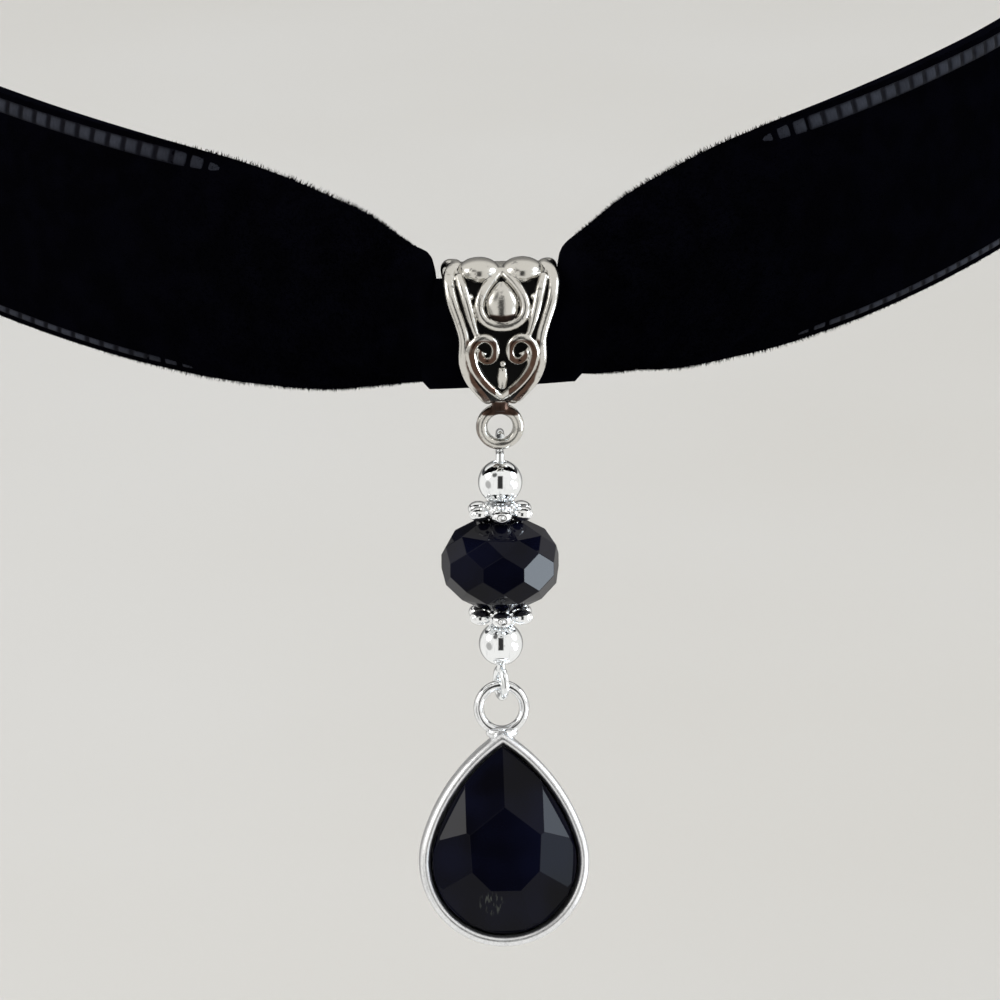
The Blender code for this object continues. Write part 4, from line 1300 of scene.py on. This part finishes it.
@dataclass
class EyePin:
    """One wire: an open eye in the bail's ring, a shaft through the beads, an eye round the drop's ring."""

    wire_radius: float = 0.28 * MM
    upper_radius: float = 0.80 * MM
    lower_radius: float = 0.95 * MM
    upper_turn: float = math.radians(218.0)
    lower_turn: float = math.radians(336.0)
    lower_twist: float = math.radians(14.0)
    upper_eye: float = -0.80 * MM
    lower_eye: float = -17.421 * MM

    def build(self) -> None:
        """Bend the wire."""
        path = []
        for turn in np.linspace(self.upper_turn, 0.0, 40):
            reach, rise = self.upper_radius * math.sin(turn), self.upper_radius * math.cos(turn)
            path.append((0.0, reach, self.upper_eye - rise))
        low, high = self.lower_eye + self.lower_radius, self.upper_eye - self.upper_radius
        for z in np.linspace(high, low, 12)[1:-1]:
            path.append((0.0, 0.0, z))
        for turn in np.linspace(0.0, self.lower_turn, 56):
            reach = self.lower_radius * math.sin(turn)
            path.append((
                -reach * math.sin(self.lower_twist), reach * math.cos(self.lower_twist),
                self.lower_eye + self.lower_radius * math.cos(turn)))
        pin = hung(wire("eye_pin_wire", np.array(path), self.wire_radius, sides=6), Body.LINK)
        smoothed(pin, 50.0)
        dress(pin, BrightSilver().material("pin_wire_silver"), Body.LINK, Slot.PIN, "eye_pin")


@dataclass
class LinkBeads:
    """What is threaded on the pin: two round beads, two daisy spacers and the cut rondelle."""

    hole: float = 0.46 * MM
    bead_radius: float = 1.5 * MM
    bead_heights: tuple[float, float] = (-3.408 * MM, -14.663 * MM)
    spacer_heights: tuple[float, float] = (-5.436 * MM, -12.636 * MM)
    spacer_thickness: float = 1.0 * MM
    petals: int = 6
    petal_circle: float = 1.65 * MM
    petal_radius: float = 0.70 * MM
    hub_radius: float = 1.30 * MM
    facet_edge: float = 0.05 * MM
    grains: int = 11
    grain_circle: float = 1.0 * MM
    grain_size: Point = (0.24 * MM, 0.24 * MM, 0.20 * MM)
    voxel: float = 0.040 * MM
    softening: int = 2
    swell: float = 0.015 * MM

    def round_bead(self, node: str, height: float, finish: bpy.types.Material) -> None:
        """A polished round bead with the rounded edge of its hole."""
        radius = self.bead_radius
        start = math.asin((self.hole + 0.06 * MM) / radius)
        turns = np.linspace(start, math.pi - start, 33)
        profile = [(radius * math.sin(turn), radius * math.cos(turn)) for turn in turns]
        rim = profile[0][1]
        profile += [
            (self.hole + 0.01 * MM, -rim + 0.03 * MM), (self.hole, -rim + 0.12 * MM),
            (self.hole, rim - 0.12 * MM), (self.hole + 0.01 * MM, rim - 0.03 * MM)]
        bead = hung(turned(f"{node}_polished", profile, (0.0, 0.0, height)), Body.LINK)
        dress(smoothed(bead, 60.0), finish, Body.LINK, Slot.BEAD, node)

    def petal(self, centre: np.ndarray, turn: float) -> list[bpy.types.Object]:
        """One round petal with a dimple in its outer face and a fine bead in the dimple."""
        out = np.array([math.sin(turn), -math.cos(turn), 0.0])
        radii = (self.petal_radius, self.petal_radius, self.spacer_thickness / 2)
        lump = ball("petal", radii, (0.0, 0.0, 0.0), 40, 28)
        places = points_of(lump)
        side = places - np.outer(places @ out, out)
        off = np.hypot(np.linalg.norm(side[:, :2], axis=1), side[:, 2] * 1.35)
        facing = ease(places @ out, 0.0, 0.3 * MM)
        dimple = np.exp(-(off / (0.24 * MM)) ** 2) * 0.17 * MM
        lip = np.exp(-((off - 0.36 * MM) / (0.10 * MM)) ** 2) * 0.03 * MM
        place_points(lump, places + np.outer(facing * (lip - dimple), out))
        place = centre + out * self.petal_circle
        lump.location = place
        spot = place + out * (self.petal_radius - 0.13 * MM)
        return [settle(lump, "petal"), ball("petal_bead", (0.10 * MM,) * 3, spot, 12, 8)]

    def spacer(self, node: str, height: float, finish: bpy.types.Material) -> None:
        """A cast daisy: a drilled hub with a ring of grains on both faces, and six dimpled petals."""
        centre = np.array([0.0, 0.0, height])
        half, hub_radius = self.spacer_thickness * 0.42, self.hub_radius
        upper = [
            (self.hole + 0.02 * MM, half), (hub_radius * 0.80, half), (hub_radius * 0.95, half * 0.7)]
        lower = [(radius, -z) for radius, z in reversed(upper)]
        hub = turned(f"{node}_hub", [*upper, (hub_radius, 0.0), *lower], centre, sides=48)
        lumps = []
        for i in range(self.petals):
            lumps += self.petal(centre, math.tau * i / self.petals)
        for i in range(self.grains):
            turn = math.tau * (i + 0.5) / self.grains
            for rise in (0.10 * MM - self.spacer_thickness / 2, self.spacer_thickness / 2 - 0.10 * MM):
                across, forward = self.grain_circle * math.sin(turn), -self.grain_circle * math.cos(turn)
                lumps.append(ball("grain", self.grain_size, centre + (across, forward, rise), 12, 8))
        spacer = joined(f"{node}_cast", *lumps, hub)
        cast(spacer, self.voxel, self.softening, self.swell)
        hung(spacer, Body.LINK)
        # The hollows between the petals and the grains are painted dark as painted shade
        fine = ease(hollows(spacer, 5), 0.003 * MM, 0.014 * MM)
        broad = ease(hollows(spacer, 30), 0.03 * MM, 0.09 * MM)
        paint(spacer, "tarnish", np.maximum(fine * 0.8, broad))
        paint(spacer, "toning", np.zeros(len(spacer.data.vertices)))
        dress(spacer, finish, Body.LINK, Slot.SPACER, node)

    def rondelle(self) -> None:
        """The cut bead with the fine polished edges of its facets."""
        bead = merged_copy("rondelle_bead", "rondelle_cut")
        eased(bead, self.facet_edge, 2, 4.0, 5.0)
        dress(bead, BlackGlass().material("black_glass_cut"), Body.LINK, Slot.GLASS, "rondelle_bead")

    def build(self) -> None:
        """Make all the beads of the link."""
        plate = BrightSilver(polish=0.04).material("bead_silver_polished")
        for node, height in zip(("upper_round_bead", "lower_round_bead"), self.bead_heights):
            self.round_bead(node, height, plate)
        worn = AgedSilver(bright=(0.86, 0.87, 0.88), warm=(0.5, 0.48, 0.45), polish=0.12, pitting=0.12)
        cast_silver = worn.material("spacer_silver_cast")
        for node, height in zip(("upper_spacer", "lower_spacer"), self.spacer_heights):
            self.spacer(node, height, cast_silver)
        self.rondelle()


@dataclass
class PearOutline:
    """A pear outline: a round bottom and two side arcs that meet in a point at the top."""

    bottom_radius: float = 5.75 * MM
    height: float = 14.6 * MM
    side_radius: float = 13.0 * MM

    def __post_init__(self) -> None:
        """Find the side arcs' centre."""
        self.down = self.height - self.bottom_radius
        gap = self.side_radius - self.bottom_radius
        self.arc_z = -(self.side_radius ** 2 + self.down ** 2 - gap ** 2) / (2 * self.down)
        self.arc_x = math.sqrt(self.side_radius ** 2 - self.arc_z ** 2)
        self.join = (-self.down - self.arc_z) / gap

    def tip(self, inset: float) -> float:
        """Height of the point for an outline set in by an inset."""
        return self.arc_z + math.sqrt((self.side_radius - inset) ** 2 - self.arc_x ** 2)

    def half_width(self, z: float, inset: float) -> float:
        """Half width at a height below the outline's own tip."""
        side = max((self.side_radius - inset) ** 2 - (z - self.arc_z) ** 2, 0.0)
        bottom = max((self.bottom_radius - inset) ** 2 - (z + self.down) ** 2, 0.0)
        above = z > -self.down + (self.bottom_radius - inset) * self.join
        return math.sqrt(side) - self.arc_x if above else math.sqrt(bottom)

    def ring(self, inset: float, count: int) -> list[tuple[float, float]]:
        """Points round the outline as (x, z), from the tip round by the right."""
        tip = self.tip(inset)
        low = -self.down - (self.bottom_radius - inset)
        points = []
        for i in range(count):
            turn = math.tau * i / count
            z = low + (tip - low) * (1 + math.cos(turn)) / 2
            points.append((math.copysign(self.half_width(z, inset), math.sin(turn)), z))
        points[0] = (0.0, tip)
        points[count // 2] = (0.0, low)
        return points


@dataclass
class Teardrop:
    """The drop: a pear-shaped setting with its ring, and the faceted stone in it."""

    pear: PearOutline = field(default_factory=PearOutline)
    tip_z: float = -2.32 * MM
    depth: float = 3.2 * MM
    wall: float = 0.7 * MM
    floor: float = 0.8 * MM
    ring_centre_z: float = -0.77 * MM
    ring_radius: float = 1.55 * MM
    ring_wire: float = 0.35 * MM
    clearance: float = 0.15 * MM
    stone_sink: float = 0.55 * MM
    girdle: float = 0.25 * MM
    crown: float = 1.7 * MM
    facet_edge: float = 0.03 * MM
    cuts: tuple[tuple[float, float, float], ...] = (
        (38.0, 0.50, 0.10 * MM), (62.0, 0.84, 0.12 * MM), (93.0, 0.62, 0.10 * MM),
        (135.0, 0.56, 0.10 * MM), (180.0, 0.53, 0.10 * MM), (77.0, 1.25, 0.14 * MM),
        (113.0, 1.05, 0.14 * MM), (158.0, 0.98, 0.14 * MM))
    profile: tuple[tuple[float, float], ...] = (
        (1.3, 0.0), (0.80, 0.012), (0.42, 0.045), (0.16, 0.11), (0.03, 0.20), (0.0, 0.34), (0.0, 0.80),
        (0.05, 0.89), (0.18, 0.955), (0.36, 0.99), (0.55, 1.0), (0.74, 0.985), (0.90, 0.945), (1.0, 0.88))
    solder_size: Point = (1.1 * MM, 0.8 * MM, 0.45 * MM)
    ring_stretch: float = 1.3
    voxel: float = 0.088 * MM
    softening: int = 2
    swell: float = 0.02 * MM
    scuff_spot: tuple[float, float, float] = (-1.0 * MM, -1.3 * MM, -11.7 * MM)
    scuff_size: float = 1.0 * MM

    def ring_at(self, inset: float, y: float, count: int = 180) -> np.ndarray:
        """A ring of the outline at a depth."""
        return np.array([(x, y, self.tip_z + z) for x, z in self.pear.ring(inset, count)])

    def build_setting(self) -> None:
        """The cup with its rolled rim, and the ring fused to its point."""
        back = self.depth / 2
        floor = back - self.floor
        rings = [
            self.ring_at(self.wall * inset, back - self.depth * place) for inset, place in self.profile]
        for y in (back - self.depth * 0.6, floor - 0.05 * MM, floor):
            rings.append(self.ring_at(self.wall, y))
        rings.append(self.ring_at(self.wall * 1.4, floor))
        cup = loft("setting_cup", rings)
        ring = ring_of_wire(
            "setting_ring", (0.0, 0.0, self.ring_centre_z), self.ring_radius, self.ring_wire)
        place_points(ring, points_of(ring) * (1.0, self.ring_stretch, 1.0))
        blob = ball("solder", self.solder_size, (0.0, -0.1 * MM, self.tip_z - 0.15 * MM), 32, 20)
        setting = joined("bezel_setting", blob, cup)
        cast(setting, self.voxel, self.softening, self.swell)
        setting = joined("bezel_setting", smoothed(ring), setting)
        places = points_of(setting)
        fine = ease(hollows(setting, 8), 0.008 * MM, 0.035 * MM)
        inner = np.array([self.pear.half_width(z - self.tip_z, self.wall) for z in places[:, 2]])
        within = 1.0 - ease(np.abs(places[:, 0]) - inner, -0.10 * MM, 0.02 * MM)
        sunk = ease(places[:, 1] - (back - self.depth), 0.30 * MM, 0.75 * MM)
        below_tip = ease(self.tip_z + self.pear.tip(self.wall) - places[:, 2], -0.05 * MM, 0.1 * MM)
        front_part = 1.0 - ease(places[:, 1], floor - 0.2 * MM, floor + 0.1 * MM)
        # The fine hollows hold real tarnish; the inner wall between the rim and the stone is painted dark
        # as painted shade
        paint(setting, "tarnish", np.maximum(fine * 0.5, within * sunk * below_tip * front_part))
        paint(setting, "polish", ease(places[:, 2] - self.tip_z, -0.9 * MM, 0.2 * MM))
        hung(setting, Body.DROP)
        dress(setting, SatinSilver().material("bezel_satin_silver"), Body.DROP, Slot.SATIN, "bezel")

    def facets(self, girdle_y: float, inset: float) -> list[tuple[Vector, Vector]]:
        """Planes of the crown.

        Args:
            girdle_y: depth of the stone's widest line.
            inset: how far the stone's outline lies inside the setting's.

        Returns:
            Points and outward directions: the table, then each cut by its heading and its slope.
        """
        outline = np.array(self.pear.ring(inset, 720)) + np.array([0.0, self.tip_z])
        planes = [(Vector((0.0, girdle_y - self.crown, 0.0)), Vector((0.0, -1.0, 0.0)))]
        for heading, slope, margin in self.cuts:
            for sign in (1.0, -1.0) if 0.0 < heading < 180.0 else (1.0,):
                way = np.array([sign * math.sin(math.radians(heading)), math.cos(math.radians(heading))])
                edge = outline[(outline @ way).argmax()]
                planes.append((
                    Vector((edge[0], girdle_y - margin, edge[1])),
                    Vector((way[0] * slope, -1.0, way[1] * slope)).normalized()))
        return planes

    def build_stone(self) -> None:
        """Cut the stone from a pear-shaped blank, facet by facet."""
        inset = self.wall + self.clearance
        girdle_y = -self.depth / 2 + self.stone_sink
        floor = self.depth / 2 - self.floor - self.clearance
        half_width = self.pear.bottom_radius - inset
        count = 120
        rings = [self.ring_at(inset, girdle_y - self.crown * 1.2, count)]
        rings.append(self.ring_at(inset, girdle_y + self.girdle, count))
        rings.append(self.ring_at(inset + 0.45 * half_width, floor, count))
        stone = loft("pear_stone_cut", rings)
        for point, normal in self.facets(girdle_y, inset):
            with editing(stone):
                bpy.ops.mesh.select_all(action="SELECT")
                bpy.ops.mesh.bisect(
                    plane_co=point, plane_no=normal, use_fill=True, clear_inner=False, clear_outer=True,
                    threshold=0.0001 * MM)
        cleaned(stone, 0.003 * MM, 0.5)
        eased(stone, self.facet_edge, 2, 5.0, 4.0, use_clamp_overlap=True)
        hung(stone, Body.DROP)
        pivot, lean = HANGING[Body.DROP]
        spot = Vector(self.scuff_spot) + Vector((0.0, girdle_y, self.tip_z))
        scuff = Matrix.Rotation(-lean, 3, "X") @ spot + Vector(pivot)
        finish = BlackGlass(scuff_at=tuple(scuff), scuff_size=self.scuff_size)
        dress(stone, finish.material("black_stone_cut"), Body.DROP, Slot.STONE, "pear_stone")

    def build(self) -> None:
        """Make the setting and its stone."""
        self.build_setting()
        self.build_stone()


@dataclass(frozen=True)
class Patch:
    """A soft round patch of the surroundings: its heading, its outer and inner angle, its strength."""

    azimuth: float
    elevation: float
    outer: float
    inner: float
    strength: float


@dataclass
class Studio:
    """The pale floor, the soft light and the camera."""

    target_from_bail: float = 11.34 * MM
    bail_centre: Point = (0.0, -57.007 * MM, -10.35 * MM)
    azimuth: float = math.radians(-3.0)
    elevation: float = math.radians(18.0)
    distance: float = 450.0 * MM
    frame_width: float = 67.11 * MM
    floor_z: float = -150.0 * MM
    floor_colors: tuple[Color, Color] = ((0.55, 0.54, 0.52), (0.575, 0.57, 0.56))
    level: float = 0.95
    background: float = 0.85
    warm: tuple[float, ...] = (1.0, 0.985, 0.955, 1.0)
    cool: tuple[float, ...] = (0.80, 0.90, 1.0, 1.0)
    dims: tuple[Patch, ...] = (
        Patch(-46.0, 48.0, 15.0, 8.0, 0.85), Patch(-68.0, -6.0, 21.0, 12.0, 0.50),
        Patch(180.0, 0.0, 52.0, 28.0, 0.70))
    cool_lights: tuple[Patch, ...] = (
        Patch(82.0, -13.0, 13.0, 8.0, 18.0), Patch(90.0, 27.0, 16.0, 9.0, 7.4),
        Patch(64.0, 2.0, 11.0, 6.0, 2.0))
    warm_light: Patch = Patch(-84.0, 29.0, 16.0, 9.0, 4.4)
    lamp_place: Point = (-0.45, -0.55, 0.75)
    lamp_size: float = 0.45
    lamp_power: float = 4.0

    def build_floor(self) -> None:
        """A plain pale floor."""
        bpy.ops.mesh.primitive_circle_add(
            vertices=96, radius=6.0, fill_type="NGON", location=(0.0, 0.0, self.floor_z))
        floor = settle(bpy.context.object, "studio_floor")
        made = Finish("floor_paper", Roughness=0.9, Specular_IOR_Level=0.1)
        mottle = made.noise(9.0, 2.0).step(0.2, 0.8)
        made.feed(Base_Color=made.mix(mottle, *self.floor_colors))
        floor.data.materials.append(made.material)
        floor.visible_glossy = False

    @staticmethod
    def heading(azimuth: float, elevation: float) -> Vector:
        """Direction by its angle from the front towards the right and its angle above level, in degrees."""
        a, e = math.radians(azimuth), math.radians(elevation)
        return Vector((math.sin(a) * math.cos(e), -math.cos(a) * math.cos(e), math.sin(e)))

    def patch(self, way: Value, spot: Patch) -> Value:
        """The shape of a patch, 1 inside its inner angle and 0 outside its outer angle."""
        near = self.along(way, self.heading(spot.azimuth, spot.elevation))
        return near.step(math.cos(math.radians(spot.outer)), math.cos(math.radians(spot.inner)))

    def pane(self, way: Value, azimuth: float, elevation: float, wide: float, high: float,
             soft: float) -> Value:
        """A soft upright pane of the surroundings: its centre, half sizes and soft edge in degrees."""
        ahead = self.heading(azimuth, elevation)
        aside = self.heading(azimuth + 90.0, 0.0)
        inside = self.along(way, ahead).step(0.0, 0.3)
        for axis, size in ((aside, wide), (aside.cross(ahead), high)):
            edge, end = math.sin(math.radians(size)), math.sin(math.radians(size + soft))
            inside = inside * (1.0 - self.along(way, axis).size().step(edge, end))
        return inside

    @staticmethod
    def along(way: Value, aim: Vector) -> Value:
        """How far a direction points along another."""
        ends = {0: way, 1: tuple(aim)}
        return add_node(way.tree, "ShaderNodeVectorMath", {"operation": "DOT_PRODUCT"}, ends, "Value")

    def build_light(self) -> None:
        """Bright soft surroundings, dim in front and behind, with windows at the sides, and a lamp."""
        world = bpy.data.worlds.new("studio_surroundings")
        world.use_nodes = True
        bpy.context.scene.world = world
        tree = world.node_tree
        ground = tree.nodes["Background"]
        way = add_node(tree, "ShaderNodeTexCoord", {}, {}, "Generated")
        level = self.level * (1.0 - self.pane(way, -3.0, 14.0, 10.0, 30.0, 7.0) * 0.96)
        for dim in self.dims:
            level = level * (1.0 - self.patch(way, dim) * dim.strength)
        cool = self.patch(way, self.cool_lights[0])
        for light in self.cool_lights:
            shine = self.patch(way, light)
            level = level + shine * light.strength
            cool = cool.most(shine)
        level = level + self.patch(way, self.warm_light) * self.warm_light.strength
        seen = add_node(tree, "ShaderNodeLightPath", {}, {}, "Is Camera Ray")
        strength = level * (1.0 - seen) + seen * self.background
        tree.links.new(strength.socket, ground.inputs["Strength"])
        tint = add_node(
            tree, "ShaderNodeMix", {"data_type": "RGBA"}, {0: cool, 6: self.warm, 7: self.cool}, 2)
        tree.links.new(tint.socket, ground.inputs["Color"])
        bpy.ops.object.light_add(type="AREA", location=self.lamp_place)
        lamp = bpy.context.object
        lamp.name = "soft_lamp"
        lamp.data.size = self.lamp_size
        lamp.data.energy = self.lamp_power
        lamp.data.color = (1.0, 0.97, 0.92)
        lamp.visible_glossy = False
        aim = Vector(self.bail_centre) - Vector(self.lamp_place)
        lamp.rotation_euler = aim.to_track_quat("-Z", "Y").to_euler()

    def build_camera(self) -> None:
        """The camera at the photograph's angle."""
        e, a = self.elevation, self.azimuth
        back = Vector((math.sin(a) * math.cos(e), -math.cos(a) * math.cos(e), math.sin(e)))
        up = Vector((-math.sin(a) * math.sin(e), math.cos(a) * math.sin(e), math.cos(e)))
        target = Vector(self.bail_centre) - up * self.target_from_bail
        bpy.ops.object.camera_add(location=target + back * self.distance)
        camera = bpy.context.object
        camera.name = "photo_camera"
        camera.rotation_euler = (-back).to_track_quat("-Z", "Y").to_euler()
        camera.data.sensor_width = 36.0
        camera.data.lens = 36.0 * self.distance / self.frame_width
        camera.data.clip_start = 0.01
        camera.data.clip_end = 50.0
        bpy.context.scene.camera = camera

    def build(self) -> None:
        """Set the stage."""
        self.build_floor()
        self.build_light()
        self.build_camera()
        bpy.context.scene.view_settings.view_transform = "Standard"


def main() -> None:
    """Build the dressed choker in order."""
    logging.basicConfig(level=logging.INFO, format="%(message)s")
    Studio().build()
    VelvetRibbon().build()
    Clasp().build()
    Bail().build()
    EyePin().build()
    LinkBeads().build()
    Teardrop().build()


if __name__ == "__main__":
    main()
